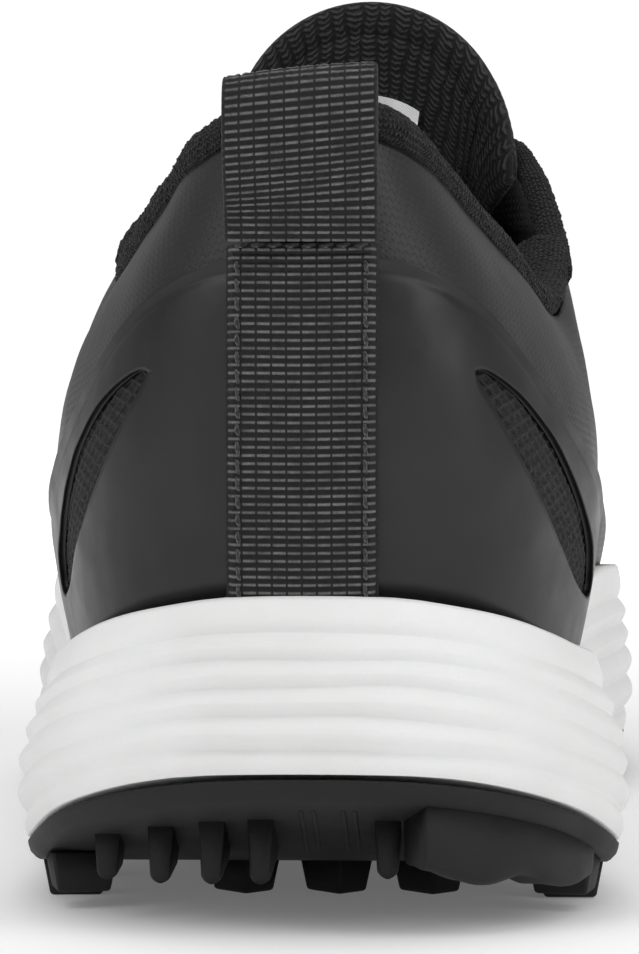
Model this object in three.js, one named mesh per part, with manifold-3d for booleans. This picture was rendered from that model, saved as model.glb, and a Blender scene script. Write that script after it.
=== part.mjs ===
// Golf shoe, left foot, as named closed solids in millimetres.
// +X is the medial side, +Y points at the toe, +Z is up.
//
// Everything above the sole lies on one surface, rib(w, t). The ring coordinate w runs once round
// the shoe: 0 at the back of the heel, 15 at the toe, 30 back at the heel, the medial side first.
// The height t is 0 where the upper meets the sole's rim and 1 at the top line, which is the
// collar, then the edge of the throat. Each piece of the upper is a patch of that surface, held a
// stated distance above or below it.

import * as THREE from 'three';
import { mergeVertices } from 'three/addons/utils/BufferGeometryUtils.js';
import ManifoldModule from 'manifold-3d';

const wasm = await ManifoldModule();
wasm.setup();

// ---- driving dimensions -------------------------------------------------------------------
const SHOE_LENGTH = 299.5; // heel to toe, over the sole
const SOLE_WIDTH = 108; // across the ball of the foot, over the sole
const COLLAR_RISE = 63; // back of the heel, from the rim of the sole to the top line
const RIM_RISE = 1; // lifts the sole's rim all round
const LUG_HEIGHT = 5; // under the outsole plate
const PLATE = 3; // outsole plate
const RIM_LEDGE = 3.4; // flat top of the midsole's rim
const RIM_TUCK = 4; // how deep the upper goes down inside the rim
const GROOVE = 1.2; // depth of the midsole's grooves
const SKIN = 1.4; // synthetic upper
const FILM = 0.7; // overlays on the upper
const LINING = 0.8;
const COUNTER = 1.6; // heel stiffener
const PUFF = 0.6; // toe stiffener
const COLLAR_THICK = 7.6; // padded collar, through
const COLLAR_DROP = 14; // padded collar, below the top line
const COLLAR_PROUD = 6.5; // padded collar, above the top line
const COLLAR_OVERHANG = 1.8; // padded collar, out over the edge of the upper
const KNIT = 1; // knitted cover
const TONGUE_THICK = 6; // padded tongue, through
const TONGUE_RISE = 28.5; // tongue above the top eyelets
const WEBBING_WIDTH = 21.2;
const WEBBING = 1.2; // webbing, through
const WEBBING_OFFSET = -1.2; // its middle, from the heel's middle
const LOOP_HEIGHT = 23; // pull loop above its stitch row
const LOOP_STAND = 7; // pull loop, how far its outer leg stands off
const LACE_RADIUS = 1.2;
const EYELET_RADIUS = 3;
const EYELET_PAIRS = 6;
const EYELET_INSET = 8; // from the throat's edge
const EYESTAY_WIDTH = 16;
const INSOLE = 4; // foam of the removable insole, in its middle
const CLEAR = 0.35; // between neighbouring pieces

// ---- the last: outlines given at the nominal size, then scaled ------------------------------
const NOMINAL_LENGTH = 299.5;
const NOMINAL_WIDTH = 108;
const NOMINAL_RISE = 63;
const ALONG = SHOE_LENGTH / NOMINAL_LENGTH;
const ACROSS = SOLE_WIDTH / NOMINAL_WIDTH;
const UPWARD = COLLAR_RISE / NOMINAL_RISE;
const HALF = 15; // stations on each side
const RING = 2 * HALF;
const STEP = 0.5; // of a station, between grid lines

// widest outline of the sole: x, y at stations 0 to 15
const SOLE_MEDIAL = [[0, 0], [15, 2], [28.5, 9], [38.5, 21], [45, 38], [45.5, 58], [42, 84],
  [38.5, 109], [38, 135], [42.5, 161], [48.5, 187], [52.3, 211], [50.5, 239], [42.5, 267],
  [29, 288], [8, 299.5]];
const SOLE_LATERAL = [[0, 0], [-15, 2], [-28.5, 9], [-38, 21], [-44, 38], [-46, 58], [-45.5, 84],
  [-46.5, 109], [-49.5, 135], [-52.8, 161], [-55.7, 187], [-55, 213], [-50, 241], [-39.5, 269],
  [-18, 291.5], [8, 299.5]];

// where the upper meets the rim: x, y
const FEATHER_MEDIAL = [[0, 6.5], [13, 8], [24, 14], [31.5, 25], [36.6, 42], [36.8, 60], [34, 85],
  [32, 110], [32.5, 135], [37, 160], [43, 185], [46, 208], [44.5, 235], [37, 262], [25, 281],
  [8, 290.5]];
const FEATHER_LATERAL = [[0, 6.5], [-13, 8], [-24, 14], [-31, 25], [-35, 42], [-37, 60], [-38, 85],
  [-39.5, 110], [-42, 135], [-45.5, 160], [-48.5, 185], [-48, 210], [-44, 236], [-34, 262],
  [-15, 282.5], [8, 290.5]];

// top line: collar to station 7, then the edge of the throat: x, y, z
const TOP_MEDIAL = [[0, 8, 108], [9, 10.2, 107.7], [15.6, 18, 104.3], [21, 31, 98.3],
  [29, 49, 89.5], [35, 67, 82.5], [36.2, 86, 92], [30, 102, 107.5], [21.5, 118, 99], [16, 132, 91],
  [14.5, 146, 83.5], [13.5, 158, 77.5], [12.5, 168, 73], [11, 177, 69.5], [8.3, 184.5, 66.8],
  [4, 188, 65.5]];
const TOP_LATERAL = [[0, 8, 108], [-9.5, 10.2, 107.7], [-17, 18, 104], [-22.5, 31, 98],
  [-28.5, 46, 90.5], [-31.5, 63, 86], [-30.5, 84, 93.5], [-19, 101, 107], [-12, 117, 99],
  [-9, 131, 91], [-7, 145, 83.5], [-6, 157, 77.5], [-4.8, 167, 73], [-3.2, 176, 69.5],
  [-0.3, 184, 66.8], [4, 188, 65.5]];

// how far the rib bulges outwards, low and high, at stations 0 to 15
const BULGE_LOW = [5, 5, 5.5, 6, 6.5, 6.5, 5, 4, 4, 4.5, 5.5, 6, 6, 6, 6, 6];
const BULGE_HIGH = [2, 2, 3, 4, 6, 7, 6, 6, 5, 4, 3, 2, 2, 2, 2, 2];

// heights along the shoe: y, z
const RIM_LINE = [[0, 45], [6.5, 44.8], [9, 43.3], [15, 40.9], [22, 38.4], [32, 35.6], [42, 33.8],
  [60, 31.5], [85, 30.5], [110, 31], [135, 32.5], [160, 34.5], [185, 36], [208, 35], [235, 32],
  [262, 30], [281, 30.5], [300, 33]];
const SOLE_LINE = [[0, 17], [4, 15.6], [14, 12], [22, 9.4], [30, 6.4], [38, 3.6], [46, 1.8],
  [53, 1], [88, 1], [105, 1.8], [130, 2.4], [150, 1.6], [170, 1], [225, 1], [250, 3.6],
  [270, 8.2], [285, 13.5], [300, 20]];
const FOOTBED_LINE = [[0, 34], [20, 30.5], [45, 27], [85, 24.5], [120, 24], [150, 23.5],
  [185, 21.5], [220, 20], [250, 21], [275, 23.5], [300, 28]];

function alongLine(line, y) {
  const v = y / ALONG;
  let i = 0;
  while (i < line.length - 2 && v > line[i + 1][0]) i += 1;
  const [y0, z0] = line[i];
  const [y1, z1] = line[i + 1];
  const share = THREE.MathUtils.clamp((v - y0) / (y1 - y0), 0, 1);
  return z0 + (z1 - z0) * share;
}

function closedCurve(medial, lateral) {
  const round = [...medial, ...lateral.slice(1, HALF).reverse()];
  const points = round.map(([x, y, z = 0]) => new THREE.Vector3(x * ACROSS, y * ALONG, z));
  return new THREE.CatmullRomCurve3(points, true, 'catmullrom', 0.5);
}

const soleCurve = closedCurve(SOLE_MEDIAL, SOLE_LATERAL);
const featherCurve = closedCurve(FEATHER_MEDIAL, FEATHER_LATERAL);
const topCurve = closedCurve(TOP_MEDIAL, TOP_LATERAL);

const wrap = (w) => ((w % RING) + RING) % RING;
const station = (w) => (wrap(w) <= HALF ? wrap(w) : RING - wrap(w));
const onCurve = (curve, w) => curve.getPoint(wrap(w) / RING);

function atStation(table, w) {
  const k = station(w);
  const i = Math.min(Math.floor(k), HALF - 1);
  return table[i] + (table[i + 1] - table[i]) * (k - i);
}

// unit vector pointing out of the shoe in plan
function outward(curve, w) {
  const a = onCurve(curve, w - 0.05);
  const b = onCurve(curve, w + 0.05);
  return new THREE.Vector3(b.y - a.y, a.x - b.x, 0).normalize();
}

const rimHeight = (y) => alongLine(RIM_LINE, y) + RIM_RISE - 1;

function featherPoint(w) {
  const p = onCurve(featherCurve, w);
  p.z = rimHeight(p.y);
  return p;
}

function topPoint(w) {
  const p = onCurve(topCurve, w);
  p.z = rimHeight(0) + (p.z - alongLine(RIM_LINE, 0)) * UPWARD;
  return p;
}

// ---- the upper's surface ---------------------------------------------------------------------
const LOW_SHARE = 0.5;
const HIGH_SHARE = 0.22;
const LEAN_SHARE = 0.45;
const TUCK_SPAN = 0.1; // the part of t, below zero, that goes down inside the rim

function rib(w, t) {
  const foot = featherPoint(w);
  if (t < 0) return foot.setZ(foot.z + (t / TUCK_SPAN) * RIM_TUCK);
  const top = topPoint(w);
  const rise = top.z - foot.z;
  const out = outward(featherCurve, w);
  const low = foot.clone().addScaledVector(out, atStation(BULGE_LOW, w));
  low.z += LOW_SHARE * rise;
  const high = top.clone().addScaledVector(out, atStation(BULGE_HIGH, w));
  high.x += (foot.x - top.x) * LEAN_SHARE;
  high.y += (foot.y - top.y) * LEAN_SHARE;
  high.z -= HIGH_SHARE * rise;
  return new THREE.CubicBezierCurve3(foot, low, high, top).getPoint(Math.min(t, 1));
}

function ribNormal(w, t) {
  if (t < 0) return outward(featherCurve, w);
  const around = rib(w + 0.05, t).sub(rib(w - 0.05, t));
  const up = ribUp(w, t);
  return around.cross(up).normalize();
}

function ribUp(w, t) {
  const a = THREE.MathUtils.clamp(t - 0.02, 0, 0.98);
  const b = THREE.MathUtils.clamp(t + 0.02, 0.02, 1);
  return rib(w, b).sub(rib(w, a)).normalize();
}

// a point held the distance d outside the surface; beyond the top line it goes straight on
function onUpper(w, t, d) {
  const p = rib(w, t).addScaledVector(ribNormal(w, t), d);
  if (t > 1) p.addScaledVector(ribUp(w, 1), (t - 1) * ribLength(w));
  return p;
}

// lengths along the rib from its foot, at even steps of t
const RIB_STEPS = 24;
const ribTables = new Map();
function ribTable(w) {
  const key = wrap(w).toFixed(4);
  if (!ribTables.has(key)) {
    const table = [0];
    for (let i = 0; i < RIB_STEPS; i += 1) {
      table.push(table[i] + rib(w, i / RIB_STEPS).distanceTo(rib(w, (i + 1) / RIB_STEPS)));
    }
    ribTables.set(key, table);
  }
  return ribTables.get(key);
}

const ribLength = (w) => ribTable(w)[RIB_STEPS];

// the height t that lies the given distance above the rim, or below the top line
function aboveRim(w, distance) {
  const table = ribTable(w);
  let i = 0;
  while (i < RIB_STEPS - 1 && table[i + 1] < distance) i += 1;
  return (i + (distance - table[i]) / (table[i + 1] - table[i])) / RIB_STEPS;
}
const belowTop = (w, distance) => aboveRim(w, ribLength(w) - distance);

// ---- solids ------------------------------------------------------------------------------------
function meshGeometry(points, faces) {
  const geometry = new THREE.BufferGeometry();
  const flat = points.flatMap((p) => [p.x, p.y, p.z]);
  geometry.setAttribute('position', new THREE.Float32BufferAttribute(flat, 3));
  geometry.setIndex(faces.flat());
  return outwardFacing(mergeVertices(geometry, 1e-4));
}

function outwardFacing(geometry) {
  const at = geometry.attributes.position;
  const order = geometry.index.array;
  const [a, b, c] = [new THREE.Vector3(), new THREE.Vector3(), new THREE.Vector3()];
  const kept = [];
  let volume = 0;
  for (let i = 0; i < order.length; i += 3) {
    const [i0, i1, i2] = [order[i], order[i + 1], order[i + 2]];
    if (i0 === i1 || i1 === i2 || i2 === i0) continue;
    kept.push(i0, i1, i2);
    a.fromBufferAttribute(at, i0);
    b.fromBufferAttribute(at, i1);
    c.fromBufferAttribute(at, i2);
    volume += a.dot(b.clone().cross(c));
  }
  if (volume < 0) kept.reverse();
  geometry.setIndex(kept);
  return geometry;
}

// the surface between rows of points; with loop, the last column joins the first
function strip(faces, rows, columns, loop, index) {
  const last = loop ? columns : columns - 1;
  for (let i = 0; i < rows - 1; i += 1) {
    for (let j = 0; j < last; j += 1) {
      const k = (j + 1) % columns;
      faces.push([index(i, j), index(i, k), index(i + 1, k)]);
      faces.push([index(i, j), index(i + 1, k), index(i + 1, j)]);
    }
  }
}

// closed rows of points, one after another, with flat ends made by fans or by rungs
function tube(rows, closeEnd, loopRows = false) {
  const columns = rows[0].length;
  const points = rows.flat();
  const faces = [];
  const index = (i, j) => (i % rows.length) * columns + j;
  strip(faces, loopRows ? rows.length + 1 : rows.length, columns, true, index);
  if (!loopRows) {
    closeEnd(columns).forEach(([a, b, c]) => {
      faces.push([index(0, a), index(0, c), index(0, b)]);
      faces.push([index(rows.length - 1, a), index(rows.length - 1, b), index(rows.length - 1, c)]);
    });
  }
  return meshGeometry(points, faces);
}

// joins the medial and lateral points of a ring that lie at the same station
function rungs(count) {
  const faces = [];
  for (let i = 0; i < count / 2; i += 1) {
    const a = i;
    const b = i + 1;
    const c = (count - i - 1) % count;
    const d = (count - i) % count;
    if (b !== c) faces.push([a, b, c]);
    if (a !== d) faces.push([a, c, d]);
  }
  return faces;
}

// joins opposite points of a section whose two long sides have the same number of points
function ladder(count) {
  const faces = [];
  for (let i = 0; i < count / 2 - 1; i += 1) {
    faces.push([i, i + 1, count - i - 2]);
    faces.push([i, count - i - 2, count - i - 1]);
  }
  return faces;
}

const ringSolid = (rows) => tube(rows, rungs);

function gridBetween(w0, w1) {
  const list = [w0];
  for (let g = Math.ceil(w0 / STEP + 1e-6); g * STEP < w1 - 1e-6; g += 1) list.push(g * STEP);
  list.push(w1);
  return list;
}

const ROW_EASE = 1.4; // rows lie closer together near the rim, where the upper turns most

// a patch of the upper from w0 to w1 and from low(w) to high(w), between two offsets
function patch({ from, to, low, high, outer, inner, steps }) {
  const rows = gridBetween(from, to).map((w) => {
    const foot = Math.max(low(w), 0);
    const heights = low(w) < 0 ? [low(w)] : [];
    for (let j = 0; j <= steps; j += 1) {
      heights.push(foot + (high(w) - foot) * (j / steps) ** ROW_EASE);
    }
    const face = (d) => heights.map((t) => onUpper(w, t, d));
    return [...face(outer(w)), ...face(inner(w)).reverse()];
  });
  return tube(rows, ladder);
}

const always = (value) => () => value;

function solidOf(geometry) {
  const vertProperties = new Float32Array(geometry.attributes.position.array);
  const triVerts = new Uint32Array(geometry.index.array);
  return new wasm.Manifold(new wasm.Mesh({ numProp: 3, vertProperties, triVerts }));
}

function geometryOf(solid) {
  const mesh = solid.getMesh();
  const geometry = new THREE.BufferGeometry();
  geometry.setAttribute('position', new THREE.BufferAttribute(mesh.vertProperties, 3));
  geometry.setIndex(Array.from(mesh.triVerts));
  return geometry;
}

function cut(geometry, cutters) {
  let solid = solidOf(geometry);
  cutters.forEach((cutter) => {
    solid = solid.subtract(solidOf(cutter));
  });
  return geometryOf(solid);
}

// ---- finishes ------------------------------------------------------------------------------------
const finish = (color, roughness) => new THREE.MeshStandardMaterial({ color, roughness, metalness: 0 });
const SYNTHETIC = finish(0x2b2c2e, 0.5);
const OVERLAY = finish(0x222325, 0.42);
const MESH_CLOTH = finish(0x3a3b3d, 0.9);
const KNIT_CLOTH = finish(0x17181a, 0.95);
const WEBBING_CLOTH = finish(0x1d1e20, 0.85);
const LACE_CLOTH = finish(0x1b1c1e, 0.9);
const WHITE_FOAM = finish(0xf1f1f0, 0.6);
const BLACK_RUBBER = finish(0x1f2022, 0.75);
const SOFT_FOAM = finish(0xc9c6bd, 0.95);
const BOARD = finish(0xb9b2a2, 0.9);
const WHITE_CLOTH = finish(0xe9e9e6, 0.9);

const shoe = new THREE.Group();
shoe.name = 'golf_shoe';

function add(name, geometry, material) {
  const mesh = new THREE.Mesh(geometry, material);
  mesh.name = name;
  shoe.add(mesh);
}

// ---- sole ------------------------------------------------------------------------------------------
const GRID = Array.from({ length: RING / STEP }, (_, i) => i * STEP);
const soleHeight = (y) => alongLine(SOLE_LINE, y);
const footbedHeight = (y) => alongLine(FOOTBED_LINE, y);

// a ring of points that follows a curve, moved outwards, at a height that depends on y
function ringAt(curve, out, height) {
  return GRID.map((w) => {
    const p = onCurve(curve, w).addScaledVector(outward(curve, w), out);
    return p.setZ(height(p.y));
  });
}

// the midsole's side wall: share of the way down, and 1 where a groove lies
const WALL = [[0, 0], [0.1, 0], [0.2, 1], [0.27, 0], [0.345, 1], [0.425, 0], [0.505, 1], [0.59, 0],
  [0.675, 1], [0.77, 0], [0.86, 1], [0.93, 0], [1, 1]];
const WALL_FLARE = 0.72; // share of the way down where the wall reaches the widest outline
const EDGE_TUCK = 1.6; // the wall's lower edge, inside the widest outline

function wallRing(down, groove) {
  return GRID.map((w) => {
    const foot = featherPoint(w);
    const rim = foot.clone().addScaledVector(outward(featherCurve, w), RIM_LEDGE);
    const wide = onCurve(soleCurve, w);
    const low = soleHeight(wide.y) + PLATE + CLEAR;
    const spread = Math.sin(Math.min(down / WALL_FLARE, 1) * Math.PI * 0.5);
    const p = rim.clone().lerp(wide, spread);
    const tuck = EDGE_TUCK * Math.max(0, (down - WALL_FLARE) / (1 - WALL_FLARE)) ** 2;
    p.addScaledVector(outward(soleCurve, w), -groove * GROOVE - tuck);
    return p.setZ(foot.z + (low - foot.z) * down);
  });
}

function midsole() {
  const cup = ringAt(featherCurve, CLEAR, footbedHeight);
  const lip = ringAt(featherCurve, CLEAR, rimHeight);
  return ringSolid([cup, lip, ...WALL.map(([down, groove]) => wallRing(down, groove))]);
}

const PLATE_TUCK = 2.4;
const LUG_ROOT = 0.9; // how far a lug reaches into the plate
const LUG_TAPER = 0.82;

// a block that narrows towards the ground: middle, width, length, turn about Z, height under the plate
function lug(x, y, width, length, turn = 0, height = LUG_HEIGHT) {
  const top = soleHeight(y * ALONG) + LUG_ROOT;
  const bottom = Math.max(soleHeight(y * ALONG) - height, ground());
  const geometry = new THREE.BoxGeometry(width, length, top - bottom);
  const at = geometry.attributes.position;
  for (let i = 0; i < at.count; i += 1) {
    if (at.getZ(i) < 0) at.setXY(i, at.getX(i) * LUG_TAPER, at.getY(i) * LUG_TAPER);
  }
  geometry.rotateZ(turn);
  geometry.translate(x * ACROSS, y * ALONG, (top + bottom) / 2);
  geometry.deleteAttribute('normal');
  geometry.deleteAttribute('uv');
  return mergeVertices(geometry);
}

const ground = () => Math.min(...SOLE_LINE.map(([, z]) => z)) - LUG_HEIGHT;

// blocks round the edge, one every so many stations, set inside the widest outline
function edgeLugs() {
  const list = [];
  [[3.9, 5.6, 0.85], [8.6, 14.6, 0.62], [15.4, 21.4, 0.62], [24.4, 26.1, 0.85]].forEach(
    ([from, to, every]) => {
      for (let w = from; w <= to + 1e-6; w += every) {
        const out = outward(soleCurve, w);
        const p = onCurve(soleCurve, w).addScaledVector(out, -PLATE_TUCK - 6.4);
        const turn = Math.atan2(out.y, out.x);
        list.push(lug(p.x / ACROSS, p.y / ALONG, 9.5, 8, turn));
      }
    },
  );
  return list;
}

const BAR_WIDTH = 3.8;
const BAR_END = 34; // y where the fins under the heel run out
// middle, y of the rear face, height of the foot
const HEEL_BARS = [[-30, 24, 2], [-22, 19, 2.2], [-14.5, 15.5, 2.6], [-7.5, 14, 2.8],
  [10.5, 14.5, 3.6], [17, 17, 6.4]];

// a fin on the heel's slope: its root follows the plate and its foot is level
function heelBar([x, from, foot]) {
  const geometry = new THREE.BoxGeometry(BAR_WIDTH, BAR_END - from, 1, 1, 4, 1);
  const at = geometry.attributes.position;
  for (let i = 0; i < at.count; i += 1) {
    const y = at.getY(i) + (BAR_END + from) / 2;
    const root = soleHeight(y) + LUG_ROOT;
    const z = at.getZ(i) > 0 ? root : Math.min(foot, root - LUG_ROOT - 1);
    const narrow = at.getZ(i) > 0 ? 1 : LUG_TAPER;
    at.setXYZ(i, (x + at.getX(i) * narrow) * ACROSS, y * ALONG, z);
  }
  geometry.deleteAttribute('normal');
  geometry.deleteAttribute('uv');
  return mergeVertices(geometry);
}

const WAVE_INSET = [3.6, 12.5]; // of its two faces, from the widest outline
// station and height of the foot of the wavy wall under the heel's medial side
const WAVE_FOOT = [[1.15, 6], [1.4, 5], [1.65, 3.6], [1.9, 3], [2.15, 3.6], [2.4, 4.2], [2.65, 3.4],
  [2.9, 1.9], [3.15, 1], [3.4, 0.9], [3.65, 1.4]];

function waveWall() {
  const rows = WAVE_FOOT.map(([w, foot]) => {
    const [outer, inner] = WAVE_INSET.map((inset) =>
      onCurve(soleCurve, w).addScaledVector(outward(soleCurve, w), -inset),
    );
    const root = (p) => soleHeight(p.y) + LUG_ROOT;
    const low = (p) => Math.min(foot, root(p) - LUG_ROOT - 0.6);
    return [
      outer.clone().setZ(root(outer)),
      outer.clone().setZ(low(outer)),
      inner.clone().setZ(low(inner)),
      inner.clone().setZ(root(inner)),
    ];
  });
  return tube(rows, ladder);
}

function middleLugs() {
  const list = [];
  [[-16, 3], [0, 3], [16, 3]].forEach(([x, count]) => {
    for (let i = 0; i < count; i += 1) list.push(lug(x - 2, 168 + i * 21, 7, 9, Math.PI / 4));
  });
  [-12, 2, 16].forEach((x) => list.push(lug(x, 56, 7, 9, Math.PI / 4)));
  [-8, 10].forEach((x) => list.push(lug(x, 240, 7, 8, Math.PI / 4)));
  return list;
}

function outsole() {
  const plateTop = ringAt(soleCurve, -EDGE_TUCK, (y) => soleHeight(y) + PLATE);
  const plateEdge = ringAt(soleCurve, -EDGE_TUCK - 0.4, (y) => soleHeight(y) + PLATE * 0.4);
  const plateFoot = ringAt(soleCurve, -PLATE_TUCK - 1, soleHeight);
  let solid = solidOf(ringSolid([plateTop, plateEdge, plateFoot]));
  [...edgeLugs(), ...HEEL_BARS.map(heelBar), waveWall(), ...middleLugs()].forEach((block) => {
    solid = solid.add(solidOf(block));
  });
  return geometryOf(solid);
}

const STROBEL = 1.2;
const INSOLE_CLOTH = 0.8;
const STROBEL_INSET = SKIN + CLEAR + 0.2;
const LINING_DEPTH = 4.6; // lining's outer face below the surface, at heel and ankles
const VAMP_LINING_DEPTH = 2.9; // the same, over the forefoot
const INSOLE_INSET = LINING_DEPTH + LINING + 2 * CLEAR;

function slab(inset, lower, thick) {
  const at = (rise) => ringAt(featherCurve, -inset, (y) => footbedHeight(y) + rise);
  return ringSolid([at(lower), at(lower + thick)]);
}

add('midsole', midsole(), WHITE_FOAM);
add('outsole', outsole(), BLACK_RUBBER);
add('strobel_board', slab(STROBEL_INSET, CLEAR, STROBEL), BOARD);
const insoleFoot = CLEAR + STROBEL + CLEAR;
add('insole_foam', slab(INSOLE_INSET, insoleFoot, INSOLE), SOFT_FOAM);
add('insole_cloth', slab(INSOLE_INSET, insoleFoot + INSOLE + CLEAR, INSOLE_CLOTH), KNIT_CLOTH);

// ---- windows in the quarters -------------------------------------------------------------------------
// middle line of the leaf: station, t
const WINDOW_LINE = [[1.8, 0.43], [2.1, 0.385], [2.5, 0.335], [3.1, 0.265], [3.7, 0.18], [4.3, 0.12]];
const WINDOW_HALF = 6; // half of its height
const WINDOW_ROUND = 0.7;
const WINDOW_POINT = 0.25; // stations that a margin of 1 mm takes off each pointed end
const SIDES = [['medial', 1], ['lateral', -1]];

function leaf(side, margin, outer, inner) {
  const half = WINDOW_HALF - margin;
  const first = WINDOW_LINE[0][0] + margin * WINDOW_POINT;
  const last = WINDOW_LINE[WINDOW_LINE.length - 1][0] - margin * WINDOW_POINT;
  const middle = (w) => {
    const k = station(w);
    let i = 0;
    while (i < WINDOW_LINE.length - 2 && k > WINDOW_LINE[i + 1][0]) i += 1;
    const share = (k - WINDOW_LINE[i][0]) / (WINDOW_LINE[i + 1][0] - WINDOW_LINE[i][0]);
    return THREE.MathUtils.lerp(WINDOW_LINE[i][1], WINDOW_LINE[i + 1][1], share);
  };
  const reach = (w) => {
    const share = THREE.MathUtils.clamp((station(w) - first) / (last - first), 0, 1);
    return (half * Math.sin(Math.PI * share) ** WINDOW_ROUND) / ribLength(w);
  };
  const ends = side > 0 ? [first, last] : [-last, -first];
  return patch({
    from: ends[0],
    to: ends[1],
    low: (w) => middle(w) - reach(w),
    high: (w) => middle(w) + reach(w),
    outer: always(outer),
    inner: always(inner),
    steps: 3,
  });
}

const OVERLAY_IN = CLEAR;
const OVERLAY_OUT = CLEAR + FILM;
const windowCutters = SIDES.map(([, side]) => leaf(side, 0, 3, -SKIN - 0.3));

// ---- eyelets --------------------------------------------------------------------------------------------
const EYELET_LOWEST = 13.1; // stations of the lowest and the highest pair
const EYELET_HIGHEST = 7.7;
const ringOf = (side, k) => (side > 0 ? k : RING - k);

function eyeletStation(pair) {
  return EYELET_LOWEST + (EYELET_HIGHEST - EYELET_LOWEST) * (pair / (EYELET_PAIRS - 1));
}

function eyeletPoint(side, pair, d, inset = EYELET_INSET) {
  const w = ringOf(side, eyeletStation(pair));
  return onUpper(w, belowTop(w, inset), d);
}

function eyeletCutter(side, pair) {
  const low = eyeletPoint(side, pair, -6);
  const high = eyeletPoint(side, pair, 4);
  const geometry = new THREE.CylinderGeometry(EYELET_RADIUS, EYELET_RADIUS, 10, 8);
  geometry.deleteAttribute('normal');
  geometry.deleteAttribute('uv');
  const pose = new THREE.Object3D();
  pose.quaternion.setFromUnitVectors(
    new THREE.Vector3(0, 1, 0),
    high.clone().sub(low).normalize(),
  );
  pose.position.copy(low.lerp(high, 0.5));
  pose.updateMatrix();
  return mergeVertices(geometry.applyMatrix4(pose.matrix));
}

const pairs = Array.from({ length: EYELET_PAIRS }, (_, i) => i);
const eyeletCutters = (side) => pairs.map((pair) => eyeletCutter(side, pair));

// ---- skin and overlays ------------------------------------------------------------------------------------
const SEAM = 0.03; // gap between two patches, in stations
const VAMP_FROM = 10;

function skin(from, to) {
  return patch({
    from,
    to,
    low: always(-TUCK_SPAN),
    high: always(1),
    outer: always(0),
    inner: always(-SKIN),
    steps: 8,
  });
}

const quarterEnds = { medial: [SEAM, VAMP_FROM - SEAM], lateral: [SEAM - VAMP_FROM, -SEAM] };
SIDES.forEach(([name, side], i) => {
  const cutters = [windowCutters[i], ...eyeletCutters(side)];
  add(`quarter_${name}`, cut(skin(...quarterEnds[name]), cutters), SYNTHETIC);
  add(`window_mesh_${name}`, leaf(side, CLEAR, -0.6, -1.2), MESH_CLOTH);
});
const allEyelets = SIDES.flatMap(([, side]) => eyeletCutters(side));
add('vamp', cut(skin(VAMP_FROM, RING - VAMP_FROM), allEyelets), SYNTHETIC);

// upper edge of the heel cap, as t at stations 0 to 9
const CAP_EDGE = [0.64, 0.65, 0.61, 0.48, 0.38, 0.3, 0.22, 0.15, 0.09, 0.05];
const CAP_END = 9;
const OVERLAY_FOOT = 0.02;

const heelCap = patch({
  from: -CAP_END,
  to: CAP_END,
  low: always(OVERLAY_FOOT),
  high: (w) => {
    const k = Math.min(station(w), CAP_END - 1e-6);
    const i = Math.floor(k);
    return CAP_EDGE[i] + (CAP_EDGE[i + 1] - CAP_EDGE[i]) * (k - i);
  },
  outer: always(OVERLAY_OUT),
  inner: always(OVERLAY_IN),
  steps: 6,
});
add('heel_cap', cut(heelCap, windowCutters), OVERLAY);

const toeCap = patch({
  from: 12,
  to: 18,
  low: always(OVERLAY_FOOT),
  high: (w) => 0.06 + 0.22 * Math.sin((Math.PI * (wrap(w) - 12)) / 6),
  outer: always(OVERLAY_OUT),
  inner: always(OVERLAY_IN),
  steps: 3,
});
add('toe_cap', toeCap, OVERLAY);

const EYESTAY_FROM = 7;
const EYESTAY_TO = 14;
SIDES.forEach(([name, side]) => {
  const band = patch({
    from: side > 0 ? EYESTAY_FROM : -EYESTAY_TO,
    to: side > 0 ? EYESTAY_TO : -EYESTAY_FROM,
    low: (w) => belowTop(w, EYESTAY_WIDTH),
    high: always(1),
    outer: always(OVERLAY_OUT),
    inner: always(OVERLAY_IN),
    steps: 4,
  });
  add(`eyestay_${name}`, cut(band, eyeletCutters(side)), OVERLAY);
});

// ---- stiffeners and linings ----------------------------------------------------------------------------------
const STIFFENER_DEPTH = SKIN + CLEAR + 0.1;

add('heel_counter', patch({
  from: -4.5,
  to: 4.5,
  low: always(-0.07),
  high: (w) => 0.62 - 0.02 * station(w) ** 1.5,
  outer: always(-STIFFENER_DEPTH),
  inner: always(-STIFFENER_DEPTH - COUNTER),
  steps: 5,
}), BOARD);

add('toe_puff', patch({
  from: 12.5,
  to: 17.5,
  low: always(-0.07),
  high: (w) => 0.1 + 0.22 * Math.sin((Math.PI * (wrap(w) - 12.5)) / 5),
  outer: always(-STIFFENER_DEPTH),
  inner: always(-STIFFENER_DEPTH - PUFF),
  steps: 5,
}), BOARD);

const LINING_SPLIT = 8;
add('heel_lining', patch({
  from: -LINING_SPLIT,
  to: LINING_SPLIT,
  low: always(-0.06),
  high: (w) => belowTop(w, COLLAR_DROP + 1.2),
  outer: always(-LINING_DEPTH),
  inner: always(-LINING_DEPTH - LINING),
  steps: 5,
}), KNIT_CLOTH);

const vampLining = patch({
  from: LINING_SPLIT + SEAM,
  to: RING - LINING_SPLIT - SEAM,
  low: always(-0.06),
  high: always(1),
  outer: always(-VAMP_LINING_DEPTH),
  inner: always(-VAMP_LINING_DEPTH - LINING),
  steps: 8,
});
add('vamp_lining', cut(vampLining, allEyelets), KNIT_CLOTH);

// ---- padded collar ---------------------------------------------------------------------------------------------
const COLLAR_END = 6;
const COLLAR_FROM = SKIN + 0.9; // inward, where the padding lies behind the skin
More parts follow.
